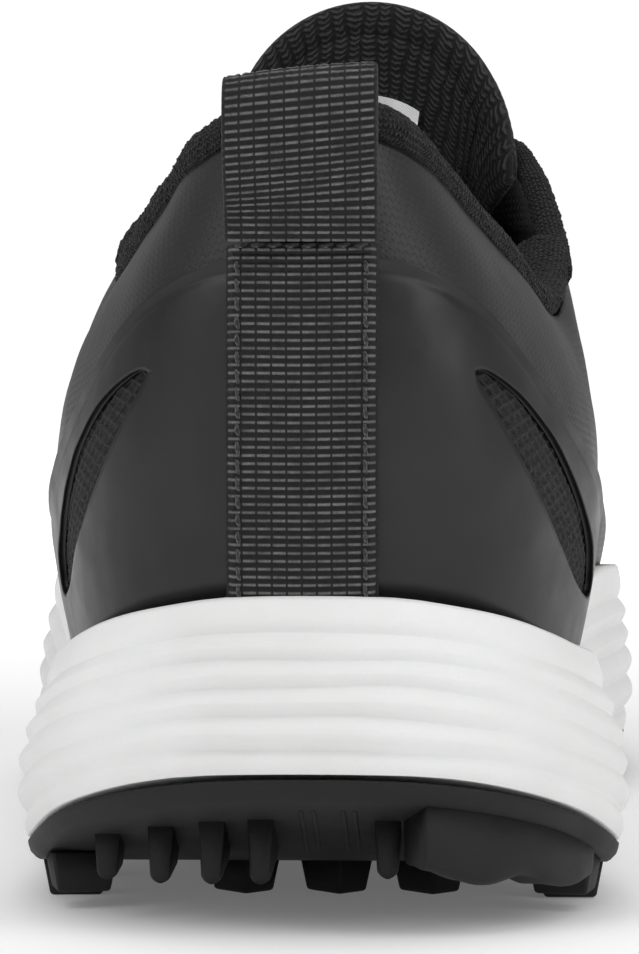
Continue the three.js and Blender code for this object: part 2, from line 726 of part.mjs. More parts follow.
// section, drawn from the outside over the top to the inside: inward, above the top line
const COLLAR_SECTION = [
  [COLLAR_FROM, -COLLAR_DROP],
  [COLLAR_FROM, -COLLAR_DROP * 0.5],
  [COLLAR_FROM, -1],
  [1.7, 0.1],
  [-0.6, 1],
  [-COLLAR_OVERHANG, COLLAR_PROUD * 0.4],
  [-0.7, COLLAR_PROUD * 0.8],
  [COLLAR_THICK * 0.35, COLLAR_PROUD],
  [COLLAR_THICK * 0.9, COLLAR_PROUD * 0.8],
  [COLLAR_THICK * 1.08, COLLAR_PROUD * 0.3],
  [COLLAR_THICK * 1.1, -3],
  [COLLAR_THICK, -COLLAR_DROP * 0.64],
  [COLLAR_THICK * 0.74, -COLLAR_DROP],
];

// the same open section, moved inside itself
function insetSection(section, distance) {
  return section.map(([a, b], i) => {
    const [a0, b0] = section[Math.max(i - 1, 0)];
    const [a1, b1] = section[Math.min(i + 1, section.length - 1)];
    const size = Math.hypot(a1 - a0, b1 - b0);
    return [a + ((b1 - b0) / size) * distance, b - ((a1 - a0) / size) * distance];
  });
}

const sectionPoint = (w, [a, b]) => onUpper(w, 1 + b / ribLength(w), -a);

function collarSolid(section) {
  const rows = gridBetween(-COLLAR_END, COLLAR_END).map((w) =>
    section.map((place) => sectionPoint(w, place)),
  );
  return tube(rows, ladder);
}

const knitInside = insetSection(COLLAR_SECTION, KNIT);
add('collar_knit', collarSolid([...COLLAR_SECTION, ...knitInside.slice().reverse()]), KNIT_CLOTH);
add('collar_foam', collarSolid(insetSection(COLLAR_SECTION, KNIT + 2 * CLEAR)), SOFT_FOAM);

// ---- webbing up the heel, and its pull loop -----------------------------------------------------------------------
const WEBBING_FOOT = 0.03;
const WEBBING_HEAD = 0.675; // t of the stitch row that closes the loop
const WEBBING_IN = OVERLAY_OUT + CLEAR;
const WEBBING_COLUMNS = 6;
const WEBBING_ROWS = 10;

// the point of the upper that lies at the distance x from the middle plane, at the back of the heel
function heelPoint(x, t, d) {
  let low = -2.2;
  let high = 2.2;
  for (let i = 0; i < 30; i += 1) {
    const middle = (low + high) / 2;
    if (onUpper(middle, t, d).x < x) low = middle;
    else high = middle;
  }
  return onUpper((low + high) / 2, t, d);
}

function heelWebbing() {
  const rows = [];
  for (let j = 0; j <= WEBBING_ROWS; j += 1) {
    const t = WEBBING_FOOT + (WEBBING_HEAD - WEBBING_FOOT) * (j / WEBBING_ROWS);
    const xs = Array.from(
      { length: WEBBING_COLUMNS + 1 },
      (_, i) => WEBBING_OFFSET + WEBBING_WIDTH * (i / WEBBING_COLUMNS - 0.5),
    );
    const outer = xs.map((x) => heelPoint(x, t, WEBBING_IN + WEBBING));
    const inner = xs.map((x) => heelPoint(x, t, WEBBING_IN)).reverse();
    rows.push([...outer, ...inner]);
  }
  return tube(rows, ladder);
}
add('heel_webbing', heelWebbing(), WEBBING_CLOTH);

const loopRoot = heelPoint(WEBBING_OFFSET, WEBBING_HEAD, WEBBING_IN + WEBBING);
const loopBack = Math.min(
  heelPoint(WEBBING_OFFSET - WEBBING_WIDTH / 2, WEBBING_HEAD, WEBBING_IN + WEBBING).y,
  loopRoot.y,
);

// the loop's middle line in the Y-Z plane, from the foot of the outer leg over to the inner leg
const LOOP_LINE = [[0, 0], [-0.35, 0.25], [-0.8, 0.5], [-1, 0.72], [-0.92, 0.9], [-0.6, 0.99],
  [-0.2, 0.97], [0.02, 0.86], [0.12, 0.66], [0.1, 0.4], [0.16, 0.14], [0.2, 0]];

function pullLoop() {
  const line = LOOP_LINE.map(
    ([back, up]) => new THREE.Vector3(0, back * LOOP_STAND, up * LOOP_HEIGHT),
  );
  const sides = [1, -1].map((side) =>
    line.map((p, i) => {
      const along = line[Math.min(i + 1, line.length - 1)]
        .clone()
        .sub(line[Math.max(i - 1, 0)])
        .normalize();
      const across = new THREE.Vector3(0, -along.z, along.y).multiplyScalar(WEBBING / 2);
      return p.clone().addScaledVector(across, side);
    }),
  );
  const outline = [...sides[0], ...sides[1].reverse()];
  const y = loopRoot.y - WEBBING - CLEAR;
  const z = loopRoot.z + CLEAR + 0.4;
  const rows = [-0.5, 0.5].map((share) =>
    outline.map((p) => new THREE.Vector3(WEBBING_OFFSET + share * WEBBING_WIDTH, p.y + y, p.z + z)),
  );
  return tube(rows, ladder);
}
add('pull_loop', pullLoop(), WEBBING_CLOTH);

// ---- tongue -----------------------------------------------------------------------------------------------------------
const LACE_DEPTH = VAMP_LINING_DEPTH + LINING + 2 * CLEAR + LACE_RADIUS; // a lace under the eyestay
const TONGUE_DEPTH = LACE_DEPTH + LACE_RADIUS + CLEAR + 0.3;
const TONGUE_STATIONS = [14.5, 14, 13.4, 12.7, 12, 11.2, 10.4, 9.6, 8.8, 8, 7.3];
const TONGUE_WING = 10; // how far it reaches under each eyestay
const TONGUE_CROWN = 0.3; // fullness of its middle
const WING_POINTS = 3;
const MIDDLE_POINTS = 5;

// one row of the tongue's upper face, from the medial wing to the lateral one
function tongueRow(k) {
  const wing = (side) => {
    const w = ringOf(side, k);
    return Array.from({ length: WING_POINTS }, (_, i) =>
      onUpper(w, belowTop(w, TONGUE_WING * (1 - i / (WING_POINTS - 1))), -TONGUE_DEPTH),
    );
  };
  const medial = wing(1);
  const lateral = wing(-1);
  const a = medial[WING_POINTS - 1];
  const b = lateral[WING_POINTS - 1];
  const reach = a.distanceTo(b) * TONGUE_CROWN;
  const arch = new THREE.CubicBezierCurve3(
    a,
    a.clone().addScaledVector(ribUp(ringOf(1, k), 1), reach),
    b.clone().addScaledVector(ribUp(ringOf(-1, k), 1), reach),
    b,
  );
  const middle = Array.from({ length: MIDDLE_POINTS }, (_, i) =>
    arch.getPoint((i + 1) / (MIDDLE_POINTS + 1)),
  );
  return [...medial, ...middle, ...lateral.reverse()];
}

const TONGUE_HALF = 24.5; // half width of the rounded top
const TONGUE_ROWS_ABOVE = 4;
const TONGUE_WRAP = 4; // how far its sides come back towards the heel
const TONGUE_LEAN = 2; // how far the top edge leans back to the toe

// rows above the eyestays, which round off into an arch
function tongueTop(lowest) {
  const middle = lowest[(lowest.length - 1) / 2];
  const rows = [];
  for (let i = 1; i <= TONGUE_ROWS_ABOVE; i += 1) {
    const share = i / TONGUE_ROWS_ABOVE;
    rows.push(lowest.map((p, j) => {
      const turn = (j / (lowest.length - 1) - 0.5) * Math.PI;
      const goal = new THREE.Vector3(
        middle.x - Math.sin(turn) * TONGUE_HALF * ACROSS,
        middle.y - TONGUE_LEAN - TONGUE_WRAP * Math.sin(turn) ** 2 + TONGUE_LEAN * share ** 2,
        middle.z - 2 + TONGUE_RISE * (Math.cos(turn) ** 0.9 - 0.12),
      );
      return p.clone().lerp(goal, share);
    }));
  }
  return rows;
}

const throatRows = TONGUE_STATIONS.map(tongueRow);
const tongueGrid = [...throatRows, ...tongueTop(throatRows[throatRows.length - 1])];

function gridNormal(grid, i, j) {
  const down = grid[Math.max(i - 1, 0)][j];
  const up = grid[Math.min(i + 1, grid.length - 1)][j];
  const left = grid[i][Math.max(j - 1, 0)];
  const right = grid[i][Math.min(j + 1, grid[i].length - 1)];
  return right.clone().sub(left).cross(up.clone().sub(down)).normalize();
}

// a sheet that lies between two depths under a grid of points
function sheetUnder(grid, rows, columns, upper, lower) {
  const sections = [];
  for (let i = rows[0]; i <= rows[1]; i += 1) {
    const face = (depth) => {
      const list = [];
      for (let j = columns[0]; j <= columns[1]; j += 1) {
        list.push(grid[i][j].clone().addScaledVector(gridNormal(grid, i, j), depth));
      }
      return list;
    };
    sections.push([...face(-upper), ...face(-lower).reverse()]);
  }
  return tube(sections, ladder);
}

const tongueRows = [0, tongueGrid.length - 1];
const tongueColumns = [0, tongueGrid[0].length - 1];
const foamFrom = KNIT + 2 * CLEAR;
const foamTo = TONGUE_THICK - KNIT - 2 * CLEAR;
function tongueSheet(upper, lower) {
  return sheetUnder(tongueGrid, tongueRows, tongueColumns, upper, lower);
}
add('tongue_cover', tongueSheet(0, KNIT), SYNTHETIC);
add('tongue_foam', tongueSheet(foamFrom, foamTo), SOFT_FOAM);
add('tongue_lining', tongueSheet(TONGUE_THICK - KNIT, TONGUE_THICK), KNIT_CLOTH);

const LABEL = 0.5;
const labelRows = [tongueGrid.length - 4, tongueGrid.length - 3];
const labelFrom = TONGUE_THICK + 2 * CLEAR;
add('size_label', sheetUnder(tongueGrid, labelRows, [2, 4], labelFrom, labelFrom + LABEL), WHITE_CLOTH);

// ---- lace ----------------------------------------------------------------------------------------------------------------
const LACE_OVER = OVERLAY_OUT + 3 * CLEAR + LACE_RADIUS + 0.4; // a lace on top of the eyestay
const LACE_SIDES = 3; // of a half turn
const LACE_EDGE = 1.5; // where it bends round the eyestay's edge
const TOP_PAIR = EYELET_PAIRS - 1;

const overHole = (side, pair) => eyeletPoint(side, pair, LACE_OVER);
const inHole = (side, pair) => eyeletPoint(side, pair, -1);
const underHole = (side, pair) => eyeletPoint(side, pair, -LACE_DEPTH);
const overEdge = (side, pair) => eyeletPoint(side, pair, LACE_OVER, LACE_EDGE);
const underEdge = (side, pair) => eyeletPoint(side, pair, -LACE_DEPTH, LACE_EDGE);

// above the tongue's middle, between two pairs
function laceCrossing(pair, lift) {
  const row = tongueRow(eyeletStation(pair));
  const middle = row[(row.length - 1) / 2].clone();
  const ahead = tongueRow(eyeletStation(pair) + 0.3)[(row.length - 1) / 2];
  const slope = middle.clone().sub(ahead).normalize();
  const normal = new THREE.Vector3(0, -slope.z, slope.y).normalize();
  if (normal.z < 0) normal.negate();
  return middle.addScaledVector(normal, LACE_RADIUS + 3 * CLEAR + 0.3 + lift);
}

function laceStrand(side, lift) {
  const points = [inHole(side, 0), underHole(side, 0), underEdge(side, 0)];
  let here = side;
  for (let pair = 0; pair < TOP_PAIR; pair += 1) {
    if (pair > 0) {
      points.push(inHole(here, pair), overHole(here, pair), overEdge(here, pair));
    }
    points.push(laceCrossing(pair + 0.5, lift));
    here = -here;
    if (pair + 1 < TOP_PAIR) {
      points.push(underEdge(here, pair + 1), underHole(here, pair + 1));
    } else {
      points.push(overEdge(here, TOP_PAIR), overHole(here, TOP_PAIR), inHole(here, TOP_PAIR));
      points.push(underHole(here, TOP_PAIR), eyeletPoint(here, TOP_PAIR, -LACE_DEPTH, 12));
    }
  }
  return points;
}

const lacePath = new THREE.CatmullRomCurve3([
  ...laceStrand(1, 0).reverse(),
  overHole(1, 0),
  overEdge(1, 0),
  laceCrossing(0, 4 * LACE_RADIUS),
  overEdge(-1, 0),
  overHole(-1, 0),
  ...laceStrand(-1, 2 * LACE_RADIUS + CLEAR + 0.3),
], false, 'centripetal');
const LACE_STEPS = 130;
const laceShape = new THREE.Shape();
laceShape.absarc(0, 0, LACE_RADIUS, 0, Math.PI * 2);
const laceTube = new THREE.ExtrudeGeometry(laceShape, {
  steps: LACE_STEPS,
  curveSegments: LACE_SIDES,
  extrudePath: lacePath,
});
laceTube.deleteAttribute('normal');
laceTube.deleteAttribute('uv');
add('lace', outwardFacing(mergeVertices(laceTube, 1e-4)), LACE_CLOTH);

// ---- the origin: middle of the box, on the ground ----------------------------------------------------------------------------
const box = new THREE.Box3().setFromObject(shoe);
const middle = box.getCenter(new THREE.Vector3());
shoe.children.forEach((mesh) => {
  mesh.position.set(-middle.x, -middle.y, -box.min.z);
});

export default shoe;
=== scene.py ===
"""Golf shoe, left foot, seen from behind: the looks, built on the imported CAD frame.

The upper is one surface, rib(w, t), as in the CAD source: w runs round the shoe from the back of the
heel (0) by the medial side to the toe (15) and back (30); t is 0 at the sole's rim and 1 at the top
line. Lengths are in millimetres in the last's own frame until a mesh is made.
"""
import math

import bmesh
import bpy
import numpy as np
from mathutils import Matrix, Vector


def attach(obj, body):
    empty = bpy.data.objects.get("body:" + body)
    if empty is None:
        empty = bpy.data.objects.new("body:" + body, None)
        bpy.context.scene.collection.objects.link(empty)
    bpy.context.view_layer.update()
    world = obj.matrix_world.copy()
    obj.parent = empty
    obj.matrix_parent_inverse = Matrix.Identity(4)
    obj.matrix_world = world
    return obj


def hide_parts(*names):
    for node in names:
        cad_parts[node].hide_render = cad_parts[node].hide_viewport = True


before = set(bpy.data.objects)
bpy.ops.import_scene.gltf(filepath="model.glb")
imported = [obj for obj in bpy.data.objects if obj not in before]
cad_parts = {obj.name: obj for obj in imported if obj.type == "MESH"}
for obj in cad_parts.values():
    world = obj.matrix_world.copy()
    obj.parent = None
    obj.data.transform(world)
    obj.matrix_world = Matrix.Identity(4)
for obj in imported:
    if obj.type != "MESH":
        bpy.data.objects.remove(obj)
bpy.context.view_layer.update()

# ---- the last, repeated from the CAD source ---------------------------------------------------
HALF = 15
RING = 2 * HALF
PLATE = 3.0
CLEAR = 0.35
RIM_LEDGE = 3.4
RIM_TUCK = 4.0
TUCK_SPAN = 0.1
SKIN = 1.4
LUG_HEIGHT = 5.0
SHIFT = np.array([1.772, -146.555, 4.0])  # from the last's frame to the row frame

SOLE_MEDIAL = [(0, 0), (15, 2), (28.5, 9), (38.5, 21), (45, 38), (45.5, 58), (42, 84), (38.5, 109),
               (38, 135), (42.5, 161), (48.5, 187), (52.3, 211), (50.5, 239), (42.5, 267),
               (29, 288), (8, 299.5)]
SOLE_LATERAL = [(0, 0), (-15, 2), (-28.5, 9), (-38, 21), (-44, 38), (-46, 58), (-45.5, 84),
                (-46.5, 109), (-49.5, 135), (-52.8, 161), (-55.7, 187), (-55, 213), (-50, 241),
                (-39.5, 269), (-18, 291.5), (8, 299.5)]
FEATHER_MEDIAL = [(0, 6.5), (13, 8), (24, 14), (31.5, 25), (36.6, 42), (36.8, 60), (34, 85),
                  (32, 110), (32.5, 135), (37, 160), (43, 185), (46, 208), (44.5, 235), (37, 262),
                  (25, 281), (8, 290.5)]
FEATHER_LATERAL = [(0, 6.5), (-13, 8), (-24, 14), (-31, 25), (-35, 42), (-37, 60), (-38, 85),
                   (-39.5, 110), (-42, 135), (-45.5, 160), (-48.5, 185), (-48, 210), (-44, 236),
                   (-34, 262), (-15, 282.5), (8, 290.5)]
TOP_MEDIAL = [(0, 8, 108), (9, 10.2, 107.7), (15.6, 18, 104.3), (21, 31, 98.3), (29, 49, 89.5),
              (35, 67, 82.5), (36.2, 86, 92), (30, 102, 107.5), (21.5, 118, 99), (16, 132, 91),
              (14.5, 146, 83.5), (13.5, 158, 77.5), (12.5, 168, 73), (11, 177, 69.5),
              (8.3, 184.5, 66.8), (4, 188, 65.5)]
TOP_LATERAL = [(0, 8, 108), (-9.5, 10.2, 107.7), (-17, 18, 104), (-22.5, 31, 98), (-28.5, 46, 90.5),
               (-31.5, 63, 86), (-30.5, 84, 93.5), (-19, 101, 107), (-12, 117, 99), (-9, 131, 91),
               (-7, 145, 83.5), (-6, 157, 77.5), (-4.8, 167, 73), (-3.2, 176, 69.5),
               (-0.3, 184, 66.8), (4, 188, 65.5)]
BULGE_LOW = [5, 5, 5.5, 6, 6.5, 6.5, 5, 4, 4, 4.5, 5.5, 6, 6, 6, 6, 6]
BULGE_HIGH = [2, 2, 3, 4, 6, 7, 6, 6, 5, 4, 3, 2, 2, 2, 2, 2]
RIM_LINE = [(0, 45), (6.5, 44.8), (9, 43.3), (15, 40.9), (22, 38.4), (32, 35.6), (42, 33.8),
            (60, 31.5), (85, 30.5), (110, 31), (135, 32.5), (160, 34.5), (185, 36), (208, 35),
            (235, 32), (262, 30), (281, 30.5), (300, 33)]
SOLE_LINE = [(0, 17), (4, 15.6), (14, 12), (22, 9.4), (30, 6.4), (38, 3.6), (46, 1.8), (53, 1),
             (88, 1), (105, 1.8), (130, 2.4), (150, 1.6), (170, 1), (225, 1), (250, 3.6),
             (270, 8.2), (285, 13.5), (300, 20)]
FOOTBED_LINE = [(0, 34), (20, 30.5), (45, 27), (85, 24.5), (120, 24), (150, 23.5), (185, 21.5),
                (220, 20), (250, 21), (275, 23.5), (300, 28)]


def closed_ring(medial, lateral):
    points = list(medial) + list(lateral[1:HALF])[::-1]
    return np.array([tuple(p) + (0,) * (3 - len(p)) for p in points], float)


SOLE_RING = closed_ring(SOLE_MEDIAL, SOLE_LATERAL)
FEATHER_RING = closed_ring(FEATHER_MEDIAL, FEATHER_LATERAL)
TOP_RING = closed_ring(TOP_MEDIAL, TOP_LATERAL)


def on_curve(ring, w):
    """Points of a closed Catmull-Rom curve; w is an array of any shape."""
    w = np.asarray(w, float) % RING
    i = np.floor(w).astype(int) % RING
    f = (w - np.floor(w))[..., None]
    a, b, c, d = (ring[(i + k) % RING] for k in (-1, 0, 1, 2))
    m0, m1 = 0.5 * (c - a), 0.5 * (d - b)
    f2, f3 = f * f, f * f * f
    return (2 * f3 - 3 * f2 + 1) * b + (f3 - 2 * f2 + f) * m0 + (3 * f2 - 2 * f3) * c + (f3 - f2) * m1


def along_line(line, y):
    xs, zs = zip(*line)
    return np.interp(y, xs, zs)


def smooth_line(line, y, spread=4.0):
    """along_line with its corners rounded off."""
    return sum(along_line(line, y + spread * s) for s in (-1, -0.5, 0, 0.5, 1)) / 5


def station(w):
    w = np.asarray(w, float) % RING
    return np.where(w <= HALF, w, RING - w)


def at_station(table, w):
    return np.interp(station(w), np.arange(len(table)), table)


def outward(ring, w):
    d = on_curve(ring, np.asarray(w) + 0.05) - on_curve(ring, np.asarray(w) - 0.05)
    n = np.stack([d[..., 1], -d[..., 0], np.zeros(d.shape[:-1])], -1)
    return n / np.linalg.norm(n, axis=-1, keepdims=True)


def rim_height(y):
    return smooth_line(RIM_LINE, y, 2.0)


def unit(v):
    return v / np.maximum(np.linalg.norm(v, axis=-1, keepdims=True), 1e-9)


def rib(w, t):
    """Points of the upper's surface."""
    w, t = np.broadcast_arrays(np.asarray(w, float), np.asarray(t, float))
    foot = on_curve(FEATHER_RING, w)
    foot[..., 2] = rim_height(foot[..., 1])
    top = on_curve(TOP_RING, w)
    rise = top[..., 2] - foot[..., 2]
    out = outward(FEATHER_RING, w)
    low = foot + out * at_station(BULGE_LOW, w)[..., None]
    low[..., 2] += 0.5 * rise
    high = top + out * at_station(BULGE_HIGH, w)[..., None]
    high[..., :2] += (foot - top)[..., :2] * 0.45
    high[..., 2] -= 0.22 * rise
    s = np.clip(t, 0, 1)[..., None]
    p = (1 - s) ** 3 * foot + 3 * (1 - s) ** 2 * s * low + 3 * (1 - s) * s * s * high + s**3 * top
    p[..., 2] += np.minimum(t, 0) / TUCK_SPAN * RIM_TUCK
    return p


def rib_up(w, t):
    a = np.clip(np.asarray(t, float) - 0.02, 0, 0.98)
    b = np.clip(np.asarray(t, float) + 0.02, 0.02, 1)
    return unit(rib(w, b) - rib(w, a))


def rib_normal(w, t):
    w, t = np.broadcast_arrays(np.asarray(w, float), np.asarray(t, float))
    around = rib(w + 0.05, np.maximum(t, 0)) - rib(w - 0.05, np.maximum(t, 0))
    return unit(np.cross(around, rib_up(w, t)))


RIB_STEPS = 48


def rib_lengths(w):
    """Lengths along the ribs from the rim, at even steps of t: one row for each w."""
    w = np.atleast_1d(np.asarray(w, float))
    p = rib(w[:, None], np.linspace(0, 1, RIB_STEPS + 1)[None, :])
    step = np.linalg.norm(np.diff(p, axis=1), axis=-1)
    return np.concatenate([np.zeros((len(w), 1)), np.cumsum(step, axis=1)], axis=1)


def below_top(w, distance):
    """The height t that lies a distance under the top line; past it, t goes on above 1."""
    w = np.atleast_1d(np.asarray(w, float))
    distance = np.broadcast_to(np.asarray(distance, float), w.shape)
    table = rib_lengths(w)
    ts = np.linspace(0, 1, RIB_STEPS + 1)
    inside = np.array([np.interp(row[-1] - d, row, ts) for row, d in zip(table, distance)])
    return np.where(distance < 0, 1 - distance / table[:, -1], inside)


def on_upper(w, t, d):
    """Points held d outside the upper; above the top line they go straight on."""
    w, t = np.broadcast_arrays(np.asarray(w, float), np.asarray(t, float))
    d = np.broadcast_to(np.asarray(d, float), w.shape)
    p = rib(w, t) + rib_normal(w, t) * d[..., None]
    if (t > 1).any():
        flat = w.reshape(-1)
        length = rib_lengths(flat)[:, -1].reshape(w.shape)
        p = p + rib_up(w, np.ones_like(t)) * (np.maximum(t - 1, 0) * length)[..., None]
    return p


# ---- meshes --------------------------------------------------------------------------------------
MM = 0.001


def to_row(p):
    """Millimetres in the last's frame to metres in the row frame."""
    return (np.asarray(p, float) + SHIFT) * MM


def make_mesh(name, verts, faces, uv=None, smooth=True):
    """An object from points in the last's frame; uv is one pair, in millimetres, for each point."""
    mesh = bpy.data.meshes.new(name)
    mesh.from_pydata(to_row(verts).tolist(), [], [tuple(map(int, f)) for f in faces])
    if uv is not None:
        layer = mesh.uv_layers.new(name="UVMap")
        loops = np.zeros(len(mesh.loops), dtype=np.int32)
        mesh.loops.foreach_get("vertex_index", loops)
        layer.data.foreach_set("uv", np.asarray(uv, np.float32)[loops].ravel())
    mesh.polygons.foreach_set("use_smooth", [smooth] * len(mesh.polygons))
    mesh.update()
    obj = bpy.data.objects.new(name, mesh)
    bpy.context.scene.collection.objects.link(obj)
    return obj


def grid_faces(rows, columns, loop_rows=False, loop_columns=False, start=0):
    i = np.arange(rows if loop_rows else rows - 1)
    j = np.arange(columns if loop_columns else columns - 1)
    i, j = np.meshgrid(i, j, indexing="ij")
    i2, j2 = (i + 1) % rows, (j + 1) % columns
    quad = np.stack([i * columns + j, i * columns + j2, i2 * columns + j2, i2 * columns + j], -1)
    return quad.reshape(-1, 4) + start


def signed_volume(verts, faces):
    v = verts[faces]
    first = np.einsum("ij,ij->i", v[:, 0], np.cross(v[:, 1], v[:, 2])).sum()
    second = np.einsum("ij,ij->i", v[:, 0], np.cross(v[:, 2], v[:, 3])).sum()
    return first + second


def thick_sheet(name, outer, inner, faces, uv, rim_steps=2, round_edge=0.25):
    """A closed sheet between two sets of points with the same quads; its rim is rounded."""
    outer, inner = np.asarray(outer), np.asarray(inner)
    count = len(outer)
    edges = np.concatenate([faces[:, [0, 1]], faces[:, [1, 2]], faces[:, [2, 3]], faces[:, [3, 0]]])
    edges = edges[edges[:, 0] != edges[:, 1]]
    key = np.sort(edges, axis=1)
    _, index, counts = np.unique(key, axis=0, return_index=True, return_counts=True)
    border = edges[index[counts == 1]]
    on_rim = np.unique(border)
    place = {int(v): k for k, v in enumerate(on_rim)}
    out_dir = np.zeros((len(on_rim), 3))
    normal = unit(outer - inner)
    for a, b in border:
        side = np.cross(outer[b] - outer[a], normal[a])
        out_dir[place[int(a)]] += side
        out_dir[place[int(b)]] += side
    out_dir = unit(out_dir) * round_edge
    blocks, uvs = [outer, inner], [uv, uv]
    for k in range(1, rim_steps + 1):
        share = k / (rim_steps + 1)
        lift = math.sin(math.pi * share)
        base = outer[on_rim] * (1 - share) + inner[on_rim] * share
        blocks.append(base + out_dir * lift)
        uvs.append(uv[on_rim])
    rim_faces = []
    levels = [lambda v: v]
    for k in range(rim_steps):
        levels.append(lambda v, k=k: 2 * count + k * len(on_rim) + place[int(v)])
    levels.append(lambda v: count + v)
    for a, b in border:
        for k in range(rim_steps + 1):
            hi, lo = levels[k], levels[k + 1]
            rim_faces.append((hi(b), hi(a), lo(a), lo(b)))
    all_faces = np.concatenate([faces, faces[:, ::-1] + count, np.array(rim_faces)])
    verts = np.concatenate(blocks)
    if signed_volume(verts, all_faces) < 0:
        all_faces = all_faces[:, ::-1]
    return make_mesh(name, verts, clean_faces(all_faces), np.concatenate(uvs))


def clean_faces(faces):
    """Quads with a repeated corner become triangles, and those with no area go."""
    kept = []
    for face in faces:
        corners = list(dict.fromkeys(int(v) for v in face))
        if len(corners) > 2:
            kept.append(corners)
    return kept


def join_duplicates(obj, distance=2e-6):
    bm = bmesh.new()
    bm.from_mesh(obj.data)
    bmesh.ops.remove_doubles(bm, verts=bm.verts, dist=distance)
    bm.to_mesh(obj.data)
    bm.free()
    return obj


def ring_solid(name, rings, uv=None, smooth=True):
    """Closed rings of points, joined in order; medial and lateral points close both ends."""
    rings = [np.asarray(r) for r in rings]
    columns = len(rings[0])
    verts = np.concatenate(rings)
    faces = [tuple(f) for f in grid_faces(len(rings), columns, loop_columns=True)]
    last = (len(rings) - 1) * columns
    for i in range(columns // 2):
        a, b, c, d = i, i + 1, (columns - i - 1) % columns, (columns - i) % columns
        corner = tuple(dict.fromkeys((a, b, c, d)))
        faces.append(corner[::-1])
        faces.append(tuple(v + last for v in corner))
    quads = np.array([f if len(f) == 4 else f + (f[-1],) for f in faces])
    if signed_volume(verts, quads) < 0:
        quads = quads[:, ::-1]
    return make_mesh(name, verts, clean_faces(quads), uv, smooth)


def fractal(p, seed, scale, octaves=3):
    """Cheap smooth noise from sums of sines, about -1 to 1; p is (..., 3) in millimetres."""
    rng = np.random.default_rng(seed)
    total = np.zeros(p.shape[:-1])
    weight = 0.0
    for octave in range(octaves):
        for _ in range(4):
            direction = unit(rng.normal(size=3)) / scale * 2.0**octave * 2 * math.pi
            total += np.sin(p @ direction + rng.uniform(0, 2 * math.pi)) * 0.5**octave
        weight += 2.0 * 0.5**octave
    return total / weight


def smoothstep(a, b, x):
    s = np.clip((x - a) / (b - a), 0, 1)
    return s * s * (3 - 2 * s)


# ---- materials -----------------------------------------------------------------------------------
class Nodes:
    """A short way to write a shader: each call adds a node and returns the socket that it makes."""

    def __init__(self, name):
        self.material = bpy.data.materials.new(name)
        self.material.use_nodes = True
        self.tree = self.material.node_tree
        self.tree.nodes.clear()
        self.shader = self.tree.nodes.new("ShaderNodeBsdfPrincipled")
        self.output = self.tree.nodes.new("ShaderNodeOutputMaterial")
        self.tree.links.new(self.shader.outputs[0], self.output.inputs["Surface"])

    def add(self, kind, inputs=None, out=0, **settings):
        node = self.tree.nodes.new(kind)
        for key, value in settings.items():
            setattr(node, key, value)
        for key, value in (inputs or {}).items():
            self.put(node.inputs[key], value)
        return node.outputs[out]

    def put(self, socket, value):
        if isinstance(value, bpy.types.NodeSocket):
            self.tree.links.new(value, socket)
        else:
            socket.default_value = value

    def math(self, operation, a, b=0.0, c=0.0):
        return self.add("ShaderNodeMath", {0: a, 1: b, 2: c}, operation=operation)

    def uv_mm(self):
        """The UV map, in millimetres."""
        return self.add("ShaderNodeUVMap", uv_map="UVMap")

    def place_mm(self):
        """The piece's own coordinates, in millimetres."""
        coords = self.add("ShaderNodeTexCoord", out=3)
        return self.add("ShaderNodeVectorMath", {0: coords, 3: 1000.0}, operation="SCALE")

    def split(self, vector):
        node = self.tree.nodes.new("ShaderNodeSeparateXYZ")
        self.tree.links.new(vector, node.inputs[0])
        return node.outputs[0], node.outputs[1], node.outputs[2]

    def noise(self, vector, size, detail=3.0, rough=0.55):
        """Noise from 0 to 1, whose features are about size millimetres across."""
        inputs = {"Vector": vector, "Scale": 1.0 / size, "Detail": detail, "Roughness": rough}
        return self.add("ShaderNodeTexNoise", inputs)

    def ramp(self, value, low, high, a=0.0, b=1.0):
        """value from low to high becomes a to b, with a smooth course."""
        inputs = {0: value, 1: low, 2: high, 3: a, 4: b}
        return self.add("ShaderNodeMapRange", inputs, interpolation_type="SMOOTHSTEP")

    def mix(self, factor, a, b):
        node = self.tree.nodes.new("ShaderNodeMix")
        node.data_type = "RGBA"
        self.put(node.inputs[0], factor)
        self.put(node.inputs[6], a)
        self.put(node.inputs[7], b)
        return node.outputs[2]

    def bump(self, height, distance_mm, strength=1.0, normal=None):
        inputs = {"Height": height, "Distance": distance_mm * MM, "Strength": strength}
        if normal is not None:
            inputs["Normal"] = normal
        return self.add("ShaderNodeBump", inputs)

    def finish(self, color, rough, normal=None, sheen=0.0, specular=0.5):
        self.put(self.shader.inputs["Base Color"], color)
        self.put(self.shader.inputs["Roughness"], rough)
        self.put(self.shader.inputs["Specular IOR Level"], specular)
        self.put(self.shader.inputs["Sheen Weight"], sheen)
        self.put(self.shader.inputs["Sheen Roughness"], 0.5)
        if normal is not None:
            self.put(self.shader.inputs["Normal"], normal)
        return self.material


def grey(value, warm=0.0):
    return (value * (1 + warm), value, value * (1 - warm), 1.0)


DIMPLE_STEP, DIMPLE_ROW = 1.5, 1.25  # pitch of the dimples along a row, and from row to row


